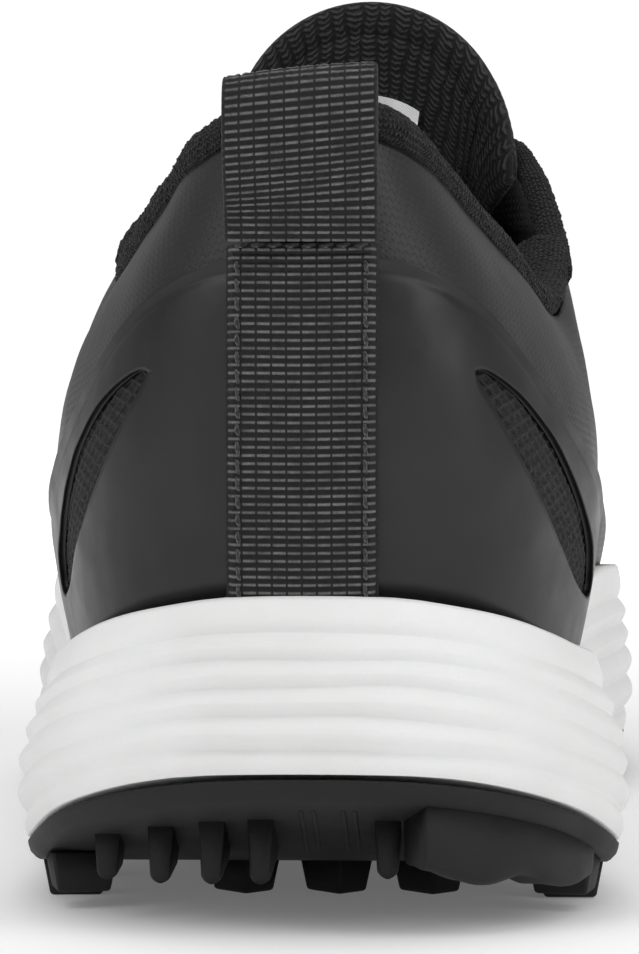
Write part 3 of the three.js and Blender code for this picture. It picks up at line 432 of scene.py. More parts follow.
def make_synthetic():
    """Black synthetic leather: satin, with a fine grain and shallow dimples in rows."""
    m = Nodes("synthetic_upper")
    uv, at = m.uv_mm(), m.place_mm()
    x, y, _ = m.split(uv)
    # rows of dimples, every second row moved by half a step
    row = m.math("FLOOR", m.math("DIVIDE", y, DIMPLE_ROW))
    shift = m.math("MULTIPLY", m.math("MODULO", row, 2.0), DIMPLE_STEP / 2)
    dx = m.math("PINGPONG", m.math("ADD", x, shift), DIMPLE_STEP / 2)
    dy = m.math("PINGPONG", y, DIMPLE_ROW / 2)
    far = m.math("SQRT", m.math("ADD", m.math("POWER", dx, 2.0), m.math("POWER", dy, 2.0)))
    dimple = m.ramp(far, 0.18, 0.5, 1.0, 0.0)
    grain = m.noise(at, 0.35, 4.0)
    broad = m.noise(at, 18.0, 3.0)
    color = m.mix(m.ramp(broad, 0.35, 0.7), grey(0.010), grey(0.015))
    # painted shade: the dimples are also coloured darker than the flat between them
    color = m.mix(m.math("MULTIPLY", dimple, 0.35), color, grey(0.007))
    rough = m.ramp(m.noise(at, 9.0, 3.0), 0.3, 0.7, 0.42, 0.47)
    normal = m.bump(dimple, -0.1, 0.5)
    normal = m.bump(grain, 0.05, 0.5, normal)
    return m.finish(color, rough, normal, specular=0.4)


def make_film():
    """The bonded film of the heel cap: smoother, with a faint pebble."""
    m = Nodes("overlay_film")
    at = m.place_mm()
    pebble = m.noise(at, 0.5, 3.0)
    wave = m.noise(at, 22.0, 2.0)
    color = m.mix(m.ramp(wave, 0.3, 0.7), grey(0.005), grey(0.008))
    rough = m.ramp(m.noise(at, 7.0, 4.0), 0.3, 0.75, 0.36, 0.45)
    normal = m.bump(pebble, 0.035, 0.5)
    normal = m.bump(wave, 0.35, 0.25, normal)
    return m.finish(color, rough, normal, specular=0.38)


def make_mesh_cloth():
    m = Nodes("window_mesh")
    uv, at = m.uv_mm(), m.place_mm()
    x, y, _ = m.split(uv)
    strand = m.math("MULTIPLY", m.math("SINE", m.math("MULTIPLY", m.math("ADD", x, y), 9.0)), 0.5)
    cross = m.math("MULTIPLY", m.math("SINE", m.math("MULTIPLY", m.math("SUBTRACT", x, y), 9.0)), 0.5)
    fibre = m.noise(at, 0.3, 3.0)
    color = m.mix(m.ramp(fibre, 0.3, 0.7), grey(0.012), grey(0.035))
    normal = m.bump(m.math("MAXIMUM", strand, cross), 0.06, 0.5)
    return m.finish(color, 0.72, m.bump(fibre, 0.08, 0.6, normal), sheen=0.05, specular=0.2)


def make_knit():
    """Coarse black knit: columns of small V stitches."""
    m = Nodes("black_knit")
    uv, at = m.uv_mm(), m.place_mm()
    x, y, _ = m.split(uv)
    wobble = m.math("MULTIPLY", m.math("SUBTRACT", m.noise(at, 4.0, 2.0), 0.5), 1.0)
    across = m.math("ADD", x, wobble)
    side = m.math("PINGPONG", across, 0.45)
    slant = m.math("ADD", m.math("ADD", y, m.math("MULTIPLY", side, 0.9)), wobble)
    loop = m.math("SINE", m.math("MULTIPLY", slant, 2 * math.pi / 0.8))
    column = m.ramp(side, 0.0, 0.22, 0.0, 1.0)
    height = m.math("MULTIPLY", m.math("ADD", m.math("MULTIPLY", loop, 0.5), 0.5), column)
    fibre = m.noise(at, 0.25, 4.0, 0.7)
    # painted shade: the stitches' raised loops are coloured lighter than the hollows between them, with a
    # random fibre tone on top
    light = m.ramp(m.math("MULTIPLY", height, fibre), 0.18, 0.6)
    color = m.mix(light, grey(0.006), grey(0.045))
    normal = m.bump(height, 0.42, 0.8)
    normal = m.bump(fibre, 0.16, 0.7, normal)
    return m.finish(color, 0.88, normal, sheen=0.08, specular=0.15)


WEAVE_ROW = 1.13  # pitch of the webbing's rows
WEAVE_COLUMN = 2.05  # pitch of its columns


def make_webbing():
    """Colour of the weave: light weft bars in aligned columns on black; its relief is in the mesh."""
    m = Nodes("woven_webbing")
    uv, at = m.uv_mm(), m.place_mm()
    x, y, _ = m.split(uv)
    bend = m.math("MULTIPLY", m.math("SUBTRACT", m.noise(at, 5.0, 2.0), 0.5), 0.15)
    along = m.math("PINGPONG", m.math("ADD", x, bend), WEAVE_COLUMN / 2)
    half_row = m.math("ADD", y, WEAVE_ROW / 2)
    over = m.math("PINGPONG", m.math("ADD", half_row, m.math("MULTIPLY", bend, 0.3)), WEAVE_ROW / 2)
    bar = m.math("MULTIPLY", m.ramp(along, 0.06, 0.24), m.ramp(over, 0.28, 0.5))
    patchy = m.ramp(m.noise(at, 3.0, 3.0), 0.3, 0.7, 0.45, 1.0)
    bar = m.math("MULTIPLY", bar, patchy)
    strands = m.math("SINE", m.math("MULTIPLY", y, 2 * math.pi / 0.24))
    fibre = m.noise(at, 0.22, 4.0, 0.7)
    tone = m.math("MULTIPLY", bar, m.ramp(fibre, 0.2, 0.75, 0.35, 1.0))
    color = m.mix(tone, grey(0.003), grey(0.2))
    normal = m.bump(m.math("MULTIPLY", strands, bar), 0.05, 0.6)
    normal = m.bump(fibre, 0.12, 0.6, normal)
    return m.finish(color, 0.6, normal, sheen=0.05, specular=0.3)


def make_lace():
    m = Nodes("lace_braid")
    uv, at = m.uv_mm(), m.place_mm()
    x, y, _ = m.split(uv)
    one = m.math("SINE", m.math("MULTIPLY", m.math("ADD", x, y), 2 * math.pi / 1.1))
    two = m.math("SINE", m.math("MULTIPLY", m.math("SUBTRACT", x, y), 2 * math.pi / 1.1))
    braid = m.math("MAXIMUM", one, two)
    fibre = m.noise(at, 0.2, 3.0)
    # painted shade: the braid's raised strands are coloured lighter than the grooves between them
    color = m.mix(m.ramp(braid, 0.2, 1.0), grey(0.008), grey(0.03))
    normal = m.bump(braid, 0.16, 0.8)
    return m.finish(color, 0.75, m.bump(fibre, 0.06, 0.5, normal), sheen=0.3)


def make_white_foam():
    """Moulded white foam: matt skin, tiny pores, a trace of warmth in places."""
    m = Nodes("midsole_foam")
    at = m.place_mm()
    pores = m.noise(at, 0.45, 4.0, 0.65)
    cloud = m.noise(at, 26.0, 3.0)
    color = m.mix(m.ramp(cloud, 0.3, 0.7), (0.76, 0.76, 0.755, 1), (0.81, 0.81, 0.81, 1))
    # painted shade: the pores are coloured darker than the foam skin round them
    color = m.mix(m.math("MULTIPLY", m.ramp(pores, 0.25, 0.42, 1.0, 0.0), 0.3), color, grey(0.62))
    rough = m.ramp(pores, 0.3, 0.7, 0.5, 0.62)
    material = m.finish(color, rough, m.bump(pores, 0.06, 0.45), specular=0.35)
    m.put(m.shader.inputs["Subsurface Weight"], 0.08)
    m.put(m.shader.inputs["Subsurface Scale"], 1.5 * MM)
    return material


def make_rubber():
    """Black moulded rubber: fine spark-eroded stipple and a dusty bloom."""
    m = Nodes("outsole_rubber")
    at = m.place_mm()
    stipple = m.noise(at, 0.35, 2.0, 0.8)
    bloom = m.noise(at, 12.0, 4.0)
    color = m.mix(m.ramp(bloom, 0.3, 0.75), grey(0.010), grey(0.016))
    rough = m.ramp(bloom, 0.3, 0.7, 0.52, 0.68)
    return m.finish(color, rough, m.bump(stipple, 0.1, 0.7), specular=0.25)


def make_sockliner():
    m = Nodes("sockliner_cloth")
    at = m.place_mm()
    x, y, _ = m.split(at)
    rib_x = m.math("SINE", m.math("MULTIPLY", x, 2 * math.pi / 0.9))
    rib_y = m.math("SINE", m.math("MULTIPLY", y, 2 * math.pi / 0.9))
    weave = m.math("MULTIPLY", rib_x, rib_y)
    # painted shade: the weave's raised points are coloured lighter than its hollows
    color = m.mix(m.ramp(weave, -0.6, 0.8), grey(0.012), grey(0.04))
    return m.finish(color, 0.85, m.bump(weave, 0.12, 0.7), sheen=0.3)


def make_label():
    m = Nodes("label_cloth")
    at = m.place_mm()
    x, _, z = m.split(at)
    twill = m.math("SINE", m.math("MULTIPLY", m.math("ADD", x, z), 2 * math.pi / 0.45))
    # painted shade: the twill's raised lines are coloured lighter than the grooves between them
    color = m.mix(m.ramp(twill, -0.5, 0.8), grey(0.62), grey(0.86))
    return m.finish(color, 0.8, m.bump(twill, 0.05, 0.6), sheen=0.2)


def make_board():
    m = Nodes("fibre_board")
    at = m.place_mm()
    fibres = m.add("ShaderNodeTexNoise", {"Vector": at, "Scale": 1.2, "Detail": 6.0})
    color = m.mix(m.ramp(fibres, 0.3, 0.7), (0.4, 0.35, 0.26, 1), (0.58, 0.52, 0.42, 1))
    return m.finish(color, 0.9, m.bump(fibres, 0.12, 0.6))


SYNTHETIC = make_synthetic()
FILM = make_film()
MESH_CLOTH = make_mesh_cloth()
KNIT = make_knit()
WEBBING = make_webbing()
LACE = make_lace()
WHITE_FOAM = make_white_foam()
RUBBER = make_rubber()
SOCKLINER = make_sockliner()
LABEL = make_label()
BOARD = make_board()


def dress(obj, material, slot, body, *nodes):
    """Gives a piece its finish, its body and the CAD nodes that it stands for."""
    obj.data.materials.clear()
    obj.data.materials.append(material)
    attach(obj, body)
    if nodes:
        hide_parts(*nodes)
    return obj


# ---- upper: skin, film, windows --------------------------------------------------------------------
OVERLAY_OUT = 0.9  # the films stand this far outside the skin
OVERLAY_ROOT = -0.25  # and reach this far into it
CAP_EDGE = [0.64, 0.65, 0.61, 0.48, 0.38, 0.3, 0.22, 0.15, 0.09, 0.05]
CAP_END = 9
WINDOW_LINE = [(1.8, 0.43), (2.1, 0.385), (2.5, 0.335), (3.1, 0.265), (3.7, 0.18), (4.3, 0.12)]
WINDOW_HALF = 6.0
WINDOW_ROUND = 0.7
EYESTAY_WIDTH = 16.0
EYELET_RADIUS = 3.0
EYELET_INSET = 8.0
EYELET_PAIRS = 6
EYELET_LOWEST, EYELET_HIGHEST = 13.1, 7.7


def around_mm(w):
    """Length along the ring half-way up the upper, for UV maps."""
    fine = np.linspace(-RING, 2 * RING, 3601)
    step = np.linalg.norm(np.diff(rib(fine, 0.4), axis=0), axis=-1)
    return np.interp(w, fine, np.concatenate([[0], np.cumsum(step)]))


def window_middle(w):
    k = station(w)
    return sum(np.interp(k + s, *zip(*WINDOW_LINE)) for s in (-0.2, -0.1, 0, 0.1, 0.2)) / 5


def window_reach(w, margin=0.0):
    """Half height of the leaf, as t."""
    first, last = WINDOW_LINE[0][0] + 0.25 * margin, WINDOW_LINE[-1][0] - 0.25 * margin
    share = np.clip((station(w) - first) / (last - first), 0, 1)
    return (WINDOW_HALF - margin) * np.sin(math.pi * share) ** WINDOW_ROUND / rib_lengths(w)[:, -1]


def in_window(w):
    k = station(w)
    return (k > WINDOW_LINE[0][0]) & (k < WINDOW_LINE[-1][0])


def cap_edge(w):
    k = station(w)
    return sum(np.interp(k + s, np.arange(10), CAP_EDGE) for s in (-0.45, -0.2, 0, 0.2, 0.45)) / 5


def ribs_uv(w, t):
    lengths = rib_lengths(w)
    ts = np.linspace(0, 1, RIB_STEPS + 1)
    v = np.array([np.interp(row_t, ts, row_l) for row_t, row_l in zip(t, lengths)])
    v += np.minimum(t, 0) / TUCK_SPAN * RIM_TUCK
    return np.stack([np.broadcast_to(around_mm(w)[:, None], t.shape), v], -1)


def surface_sheet(name, w, t, outer, inner, faces, rim_steps=3, round_edge=0.2, relief=None):
    """A sheet over the upper on a grid of stations (rows) and heights (columns)."""
    ww = np.broadcast_to(w[:, None], t.shape)
    high = np.full(t.shape, outer) if relief is None else outer + relief
    a, b = on_upper(ww, t, high), on_upper(ww, t, inner)
    uv = ribs_uv(w, t)
    flat = lambda p: p.reshape(-1, p.shape[-1])
    return thick_sheet(name, flat(a), flat(b), faces, flat(uv), rim_steps, round_edge)


def leaf_rows(w, low, high, below, between, above):
    """Heights whose rows follow the leaf's two edges; returns them and the rows of the edges."""
    middle, reach = window_middle(w), np.maximum(window_reach(w), 0.0006)
    parts = [
        low[:, None] + (middle - reach - low)[:, None] * np.linspace(0, 1, below + 1)[:-1],
        (middle - reach)[:, None] + (2 * reach)[:, None] * np.linspace(0, 1, between + 1)[:-1],
        (middle + reach)[:, None] + (high - middle - reach)[:, None] * np.linspace(0, 1, above + 1),
    ]
    return np.concatenate(parts, axis=1), below, below + between


def drop_leaf(faces, columns, w, first, last):
    """Leaves out the quads inside the leaf."""
    rows, cols = faces[:, 0] // columns, faces[:, 0] % columns
    inside = in_window(w[rows]) & in_window(w[np.minimum(rows + 1, len(w) - 1)])
    return faces[~(inside & (cols >= first) & (cols < last))]


def stations_between(a, b, step, extra=()):
    ws = np.concatenate([np.arange(a, b, step), [b], np.asarray(extra, float)])
    ws = np.unique(np.round(ws, 6))
    return ws[(ws >= a - 1e-9) & (ws <= b + 1e-9)]


LEAF_ENDS = [1.8, 1.81, 1.84, 1.9, 4.2, 4.26, 4.29, 4.3]
LEAF_ENDS_RING = LEAF_ENDS + [RING - e for e in LEAF_ENDS]


def eyelet_station(pair):
    return EYELET_LOWEST + (EYELET_HIGHEST - EYELET_LOWEST) * (pair / (EYELET_PAIRS - 1))


def ring_of(side, k):
    return k if side > 0 else RING - k


def eyelet_point(side, pair, d, inset=EYELET_INSET):
    w = ring_of(side, eyelet_station(pair))
    return on_upper(np.array([w]), below_top(w, inset), d)[0]


def cut_eyelets(obj, sides=(1, -1)):
    """Drops the faces round each eyelet's middle and rounds the hole's edge."""
    bm = bmesh.new()
    bm.from_mesh(obj.data)
    for side in sides:
        for pair in range(EYELET_PAIRS):
            low, high = to_row(eyelet_point(side, pair, -6)), to_row(eyelet_point(side, pair, 4))
            axis = unit(high - low)
            near = []
            for v in bm.verts:
                r = np.array(v.co) - low
                h = r @ axis
                if -0.001 < h < 0.011 and np.linalg.norm(r - axis * h) < EYELET_RADIUS * MM:
                    near.append(v)
            bmesh.ops.delete(bm, geom=near, context="VERTS")
    edge = [v for v in bm.verts if v.is_boundary]
    for side in sides:
        for pair in range(EYELET_PAIRS):
            low, high = to_row(eyelet_point(side, pair, -6)), to_row(eyelet_point(side, pair, 4))
            axis = unit(high - low)
            for v in edge:
                r = np.array(v.co) - low
                h = r @ axis
                out = r - axis * h
                far = np.linalg.norm(out)
                if -0.001 < h < 0.011 and far < (EYELET_RADIUS + 1.2) * MM:
                    v.co = Vector(low + axis * h + out * (EYELET_RADIUS * MM / far))
    bm.to_mesh(obj.data)
    bm.free()
    return obj


def upper_skin():
    w = stations_between(0, RING, 0.1, LEAF_ENDS_RING)[:-1]
    low, high = np.full(len(w), -0.06), np.ones(len(w))
    t, first, last = leaf_rows(w, low, high, 16, 6, 34)
    columns = t.shape[1]
    faces = grid_faces(len(w), columns, loop_rows=True)
    faces = drop_leaf(faces, columns, w, first, last)
    p = on_upper(np.broadcast_to(w[:, None], t.shape), t, 0.0)
    relief = 0.18 * fractal(p, 3, 40.0) + 0.05 * fractal(p, 4, 9.0)
    return surface_sheet("upper_skin", w, t, 0.0, -SKIN, faces, 3, 0.3, relief)


def ease_to_edge(t, first):
    """Draws the rows above the leaf closer to the upper edge, where the film has its pressed line."""
    low, high = t[:, first : first + 1], t[:, -1:]
    share = np.linspace(0, 1, t.shape[1] - first)
    t[:, first:] = low + (high - low) * (1 - (1 - share) ** 1.9)
    return t


def heel_cap():
    w = stations_between(-CAP_END, CAP_END, 0.06, LEAF_ENDS + [-e for e in LEAF_ENDS])
    low, high = np.full(len(w), 0.0), cap_edge(w)
    t, first, last = leaf_rows(w, low, high, 14, 6, 40)
    t = ease_to_edge(t, last)
    columns = t.shape[1]
    faces = drop_leaf(grid_faces(len(w), columns), columns, w, first, last)
    p = on_upper(np.broadcast_to(w[:, None], t.shape), t, 0.0)
    relief = 0.18 * fractal(p, 3, 40.0) + 0.05 * fractal(p, 4, 9.0)
    # a pressed line runs along the film's upper edge
    under_edge = (high[:, None] - t) * rib_lengths(w)[:, -1][:, None]
    ridge = 0.22 * np.exp(-((under_edge / 0.8) ** 2))
    hollow = 0.16 * np.exp(-(((under_edge - 2.2) / 0.8) ** 2))
    relief = relief + ridge - hollow
    obj = surface_sheet("heel_cap_film", w, t, OVERLAY_OUT, OVERLAY_ROOT, faces, 4, 0.18, relief)
    return obj


dress(upper_skin(), SYNTHETIC, "synthetic", "shoe", "quarter_medial", "quarter_lateral", "vamp")
dress(heel_cap(), FILM, "overlay", "shoe", "heel_cap")


NET_PITCH = 1.9  # of the cords of the window's net


def leaf_mesh(side):
    """The cloth of one window: a net of crossing cords over a recessed ground."""
    w = stations_between(WINDOW_LINE[0][0], WINDOW_LINE[-1][0], 0.0125)
    if side < 0:
        w = RING - w[::-1]
    middle, reach = window_middle(w), window_reach(w) + 1.2 / rib_lengths(w)[:, -1]
    t = (middle - reach)[:, None] + (2 * reach)[:, None] * np.linspace(0, 1, 61)
    uv = ribs_uv(w, t)
    one, two = uv[..., 0] * 0.55 + uv[..., 1], uv[..., 0] * 0.55 - uv[..., 1]
    cord = lambda s: np.exp(-(((np.abs((s / NET_PITCH) % 1 - 0.5)) * NET_PITCH / 0.3) ** 2))
    relief = 0.55 * np.maximum(cord(one), cord(two)) + 0.06 * fractal(on_upper(
        np.broadcast_to(w[:, None], t.shape), t, 0.0), 5, 1.2)
    name = "window_net_medial" if side > 0 else "window_net_lateral"
    return surface_sheet(name, w, t, -0.75, -1.3, grid_faces(*t.shape), 2, 0.1, relief)


def toe_cap():
    w = stations_between(12, 18, 0.06)
    high = 0.06 + 0.22 * np.sin(math.pi * (w - 12) / 6)
    t = high[:, None] * np.linspace(0, 1, 30)
    return surface_sheet("toe_cap_film", w, t, OVERLAY_OUT, OVERLAY_ROOT, grid_faces(*t.shape), 4, 0.18)


def solid_tube(path, radius, sides=12):
    """The rings and texture places of a closed round tube through the points of a path."""
    path = np.asarray(path, float)
    along = unit(np.gradient(path, axis=0))
    normal = unit(np.cross(along[0], [0.3, 0.2, 1.0]))
    rows, us, length = [], [], 0.0
    angles = np.linspace(0, 2 * math.pi, sides, endpoint=False)
    for i, p in enumerate(path):
        normal = unit(normal - along[i] * (normal @ along[i]))
        other = np.cross(along[i], normal)
        if i:
            length += np.linalg.norm(p - path[i - 1])
        r = radius if np.isscalar(radius) else radius[i]
        rows.append(p + r * (np.cos(angles)[:, None] * normal + np.sin(angles)[:, None] * other))
        us.append(np.stack([angles * abs(r), np.full(sides, length)], -1))
    return rows, us


def merge_grids(name, grids, loop_columns=True, caps=True):
    """One object out of several lists of closed rings."""
    verts, faces, uvs, start = [], [], [], 0
    for rings, uv in grids:
        columns = len(rings[0])
        quads = grid_faces(len(rings), columns, loop_columns=loop_columns)
        block = np.concatenate(rings)
        ends = []
        if caps:
            last = (len(rings) - 1) * columns
            ends = [tuple(range(columns))[::-1], tuple(range(last, last + columns))]
        flip = signed_volume(block - block.mean(0), quads) < 0
        part = [tuple(int(v) for v in q) for q in quads] + ends
        part = [f[::-1] for f in part] if flip else part
        faces += [tuple(v + start for v in f) for f in part]
        verts.append(block)
        uvs.append(np.concatenate(uv))
        start += len(block)
    return make_mesh(name, np.concatenate(verts), faces, np.concatenate(uvs))


def eyelet_rims(side):
    """Closed rings that line the eyelets, from the film down through the skin."""
    grids = []
    angles = np.linspace(0, 2 * math.pi, 40, endpoint=False)
    section = [(3.55, 0.6), (3.5, 0.95), (3.2, 1.15), (2.85, 1.05), (2.7, 0.6), (2.7, -1.4), (3.3, -1.6),
               (3.4, -0.4)]
    for pair in range(EYELET_PAIRS):
        low, high = eyelet_point(side, pair, -6), eyelet_point(side, pair, 4)
        axis = unit(high - low)
        across = unit(np.cross(axis, [0, 0, 1.0]))
        other = np.cross(axis, across)
        base = eyelet_point(side, pair, 0)
        rings = []
        for angle in angles:
            out = math.cos(angle) * across + math.sin(angle) * other
            rings.append(np.array([base + out * r + axis * h for r, h in section]))
        rings.append(rings[0])
        uv = [np.array([(a * 3, h) for _, h in section]) for a in np.append(angles, 2 * math.pi)]
        grids.append((rings, uv))
    return grids


def eyestay(side):
    name = "eyestay_film_medial" if side > 0 else "eyestay_film_lateral"
    w = stations_between(7, 14, 0.03)
    w = w if side > 0 else RING - w[::-1]
    low = below_top(w, EYESTAY_WIDTH)
    t = low[:, None] + (1 - low)[:, None] * np.linspace(0, 1, 44)
    sheet = surface_sheet(name, w, t, OVERLAY_OUT, OVERLAY_ROOT, grid_faces(*t.shape), 4, 0.18)
    cut_eyelets(sheet, (side,))
    rims = merge_grids(name + "_rims", eyelet_rims(side), caps=False)
    return sheet, rims


def eyestay_stitches():
    """Two sewn rows: one along each eyestay's lower edge."""
    grids = []
    for side in (1, -1):
        w = np.linspace(7.12, 13.9, 400)
        w = w if side > 0 else RING - w
        t = below_top(w, EYESTAY_WIDTH - 2.2)
        line = on_upper(w, t, OVERLAY_OUT + 0.1)
        grids += stitch_row(line, rib_normal(w, t), 2.6, 2.1, 0.26)
    return merge_grids("eyestay_stitches", grids)


def join_into(obj, *others):
    bpy.ops.object.select_all(action="DESELECT")
    for other in (obj, *others):
        other.select_set(True)
    bpy.context.view_layer.objects.active = obj
    bpy.ops.object.join()
    return obj


for side, name in ((1, "medial"), (-1, "lateral")):
    dress(leaf_mesh(side), MESH_CLOTH, "mesh", "shoe", "window_mesh_" + name)
    sheet, rims = eyestay(side)
    dress(join_into(sheet, rims), FILM, "overlay", "shoe", "eyestay_" + name)
dress(toe_cap(), FILM, "overlay", "shoe", "toe_cap")


# ---- linings, collar, sockliner --------------------------------------------------------------------
LINING = 0.8
LINING_DEPTH, VAMP_LINING_DEPTH = 4.6, 2.9
COLLAR_END, COLLAR_THICK, COLLAR_DROP, COLLAR_PROUD = 6.0, 7.6, 14.0, 6.5
COLLAR_FROM = SKIN + 0.9
COLLAR_OVERHANG = 1.8
COLLAR_SECTION = [
    (COLLAR_FROM, -COLLAR_DROP), (COLLAR_FROM, -COLLAR_DROP * 0.5), (COLLAR_FROM, -1), (1.7, 0.1),
    (-0.6, 1), (-COLLAR_OVERHANG, COLLAR_PROUD * 0.4), (-0.7, COLLAR_PROUD * 0.8),
    (COLLAR_THICK * 0.35, COLLAR_PROUD), (COLLAR_THICK * 0.9, COLLAR_PROUD * 0.8),
    (COLLAR_THICK * 1.08, COLLAR_PROUD * 0.3), (COLLAR_THICK * 1.1, -3),
    (COLLAR_THICK, -COLLAR_DROP * 0.64), (COLLAR_THICK * 0.74, -COLLAR_DROP),
]


def lining(name, a, b, low, drop, depth):
    w = stations_between(a, b, 0.1)
    high = np.ones(len(w)) if drop is None else below_top(w, drop)
    t = low + (high - low)[:, None] * np.linspace(0, 1, 40)
    p = on_upper(np.broadcast_to(w[:, None], t.shape), t, -depth)
    relief = 0.12 * fractal(p, 8, 14.0)
    return surface_sheet(name, w, t, -depth, -depth - LINING, grid_faces(*t.shape), 2, 0.1, relief)


def closed_spline(points, count):
    """An even walk round a closed Catmull-Rom curve through the points."""
    points = np.asarray(points, float)
    n = len(points)
    s = np.linspace(0, n, 40 * n + 1)
    i, f = np.floor(s).astype(int), (s - np.floor(s))[:, None]
    a, b, c, d = (points[(i + k) % n] for k in (-1, 0, 1, 2))
    m0, m1 = (c - a) / 2, (d - b) / 2
    p = ((2 * f**3 - 3 * f**2 + 1) * b + (f**3 - 2 * f**2 + f) * m0 + (3 * f**2 - 2 * f**3) * c
         + (f**3 - f**2) * m1)
    walk = np.concatenate([[0], np.cumsum(np.linalg.norm(np.diff(p, axis=0), axis=1))])
    at = np.linspace(0, walk[-1], count, endpoint=False)
    return np.stack([np.interp(at, walk, p[:, k]) for k in range(points.shape[1])], -1), at


KNIT_COLUMN, KNIT_ROW = 0.95, 0.85  # pitch of the knit's stitches


def knit_relief(u, v, p, seed):
    """Height of a coarse knit, in mm: columns of slanted stitches, with lumps."""
    u = u + 0.35 * fractal(p, seed, 9.0)
    side = np.abs((u / KNIT_COLUMN) % 1 - 0.5) * 2
    slant = v / KNIT_ROW + side * 0.55 + 0.15 * fractal(p, seed + 1, 3.0)
    stitch = (0.5 + 0.5 * np.sin(2 * math.pi * slant)) * (1 - np.exp(-((side / 0.28) ** 2)) * 0.9)
    return 0.2 * stitch + 0.14 * fractal(p, seed + 2, 1.4, 2) + 0.3 * fractal(p, seed + 3, 16.0, 2)


def grid_normals(p, loop_columns=True):
    around = np.roll(p, -1, axis=1) - np.roll(p, 1, axis=1) if loop_columns else np.gradient(p, axis=1)
    return unit(np.cross(around, np.gradient(p, axis=0)))


def collar():
    section, walk = closed_spline(COLLAR_SECTION, 190)
    w = np.linspace(-COLLAR_END, COLLAR_END, 640)
    length = rib_lengths(w)[:, -1]
    end = np.minimum(1, (COLLAR_END - np.abs(w)) / 0.25)  # both ends close with a soft bend
    share = np.sqrt(np.clip(1 - (1 - end) ** 2, 0.02, 1))[:, None]
    centre = np.array([COLLAR_THICK * 0.55, -COLLAR_DROP * 0.35])
    a = centre[0] + (section[:, 0] - centre[0]) * share
    b = centre[1] + (section[:, 1] - centre[1]) * (0.35 + 0.65 * share)
    ww = np.broadcast_to(w[:, None], a.shape)
    p = on_upper(ww, 1 + b / length[:, None], -a)
    n = grid_normals(p)
    middle = p.mean(axis=1, keepdims=True)
    if ((p - middle) * n).sum() < 0:
        n = -n
    u = around_mm(w)[:, None] + 0 * a
    v = np.broadcast_to(walk[None, :], a.shape)
    # the outer leg lies behind the skin, so only what shows gets the whole relief
    hidden = smoothstep(-1.0, 1.5, b) + (a > COLLAR_THICK * 0.5)
    p = p + n * (knit_relief(u, v, p, 11) * np.clip(hidden, 0, 1) * share)[..., None]
    roll = (list(p), list(np.stack([u, v], -1)))
    return merge_grids("padded_collar", [roll, collar_tail(1), collar_tail(-1)])


TAIL_END = 7.6  # station where the thin roll ends


def collar_tail(side):
    """The collar's knit runs on along the ankle's front edge as a thin roll."""
    k = np.linspace(COLLAR_END - 0.35, TAIL_END, 200)
    w = k if side > 0 else RING - k
    angles = np.linspace(0, 2 * math.pi, 40, endpoint=False)
    along = (k - k[0]) / (k[-1] - k[0])
    size = 1.0 - 0.35 * smoothstep(0.0, 1.0, along)
    size *= np.sqrt(np.clip(1 - smoothstep(0.93, 1.0, along) ** 2, 0.02, 1))
    a = 0.7 + 2.6 * size[:, None] * np.cos(angles)
    b = 0.4 + 2.3 * size[:, None] * np.sin(angles) + 1.0
    length = rib_lengths(w)[:, -1][:, None]
    ww = np.broadcast_to(w[:, None], a.shape)
    p = on_upper(ww, 1 + b / length, -a)
    n = unit(p - p.mean(axis=1, keepdims=True))
    u = around_mm(w)[:, None] + 0 * a
    v = np.broadcast_to(angles[None, :] * 2.5, a.shape)
    p = p + n * (0.8 * knit_relief(u, v, p, 15))[..., None]
    return list(p), list(np.stack([u, v], -1))


dress(lining("heel_lining_cloth", -8, 8, -0.06, COLLAR_DROP + 1.2, LINING_DEPTH), KNIT, "knit", "shoe",
      "heel_lining")
dress(lining("vamp_lining_cloth", 8.03, RING - 8.03, -0.06, None, VAMP_LINING_DEPTH), KNIT, "knit",
      "shoe", "vamp_lining")
pad = dress(collar(), KNIT, "knit", "shoe", "collar_knit", "collar_foam")


# ---- webbing up the heel, and its pull loop -----------------------------------------------------------
WEBBING_WIDTH, WEBBING_THICK, WEBBING_OFFSET = 21.2, 1.2, -1.2
WEBBING_FOOT, WEBBING_HEAD = 0.0, 0.675
WEBBING_IN = 1.4
LOOP_HEIGHT, LOOP_STAND = 23.0, 7.0
LOOP_LINE = [(0, 0), (-0.35, 0.25), (-0.8, 0.5), (-1, 0.72), (-0.92, 0.9), (-0.6, 0.99), (-0.2, 0.97),
             (0.02, 0.86), (0.12, 0.66), (0.1, 0.4), (0.16, 0.14), (0.2, 0)]
LOOP_STITCH = 93.0  # height of the stitch row that closes the loop
STITCH_INSET = 1.6  # of the two long stitch rows, from the webbing's edges


def heel_points(xs, ts, d):
    """Points of the back of the heel on a grid: one row for each t, one column for each x."""
    w = np.linspace(-2.4, 2.4, 97)
    rows = []
    for t in ts:
        curve = on_upper(w, np.full(w.shape, t), d)
        at = np.interp(xs, curve[:, 0], w)
        rows.append(on_upper(at, np.full(at.shape, t), d))
    return np.array(rows)


def weave_relief(x, y, p):
    """Ribs across the webbing, each cut into floats by thin gaps."""
    bend = 0.18 * fractal(p, 21, 6.0, 2)
    ridge = np.abs(((y + 0.3 * bend) / WEAVE_ROW) % 1 - 0.5) * 2  # 1 in the middle of a float
    column = np.abs(((x + bend) / WEAVE_COLUMN) % 1 - 0.5) * 2
    gap = np.exp(-(((1 - column) / 0.13) ** 2))
    return 0.34 * (ridge**1.2) * (1 - 0.6 * gap) + 0.05 * fractal(p, 22, 0.8, 2)


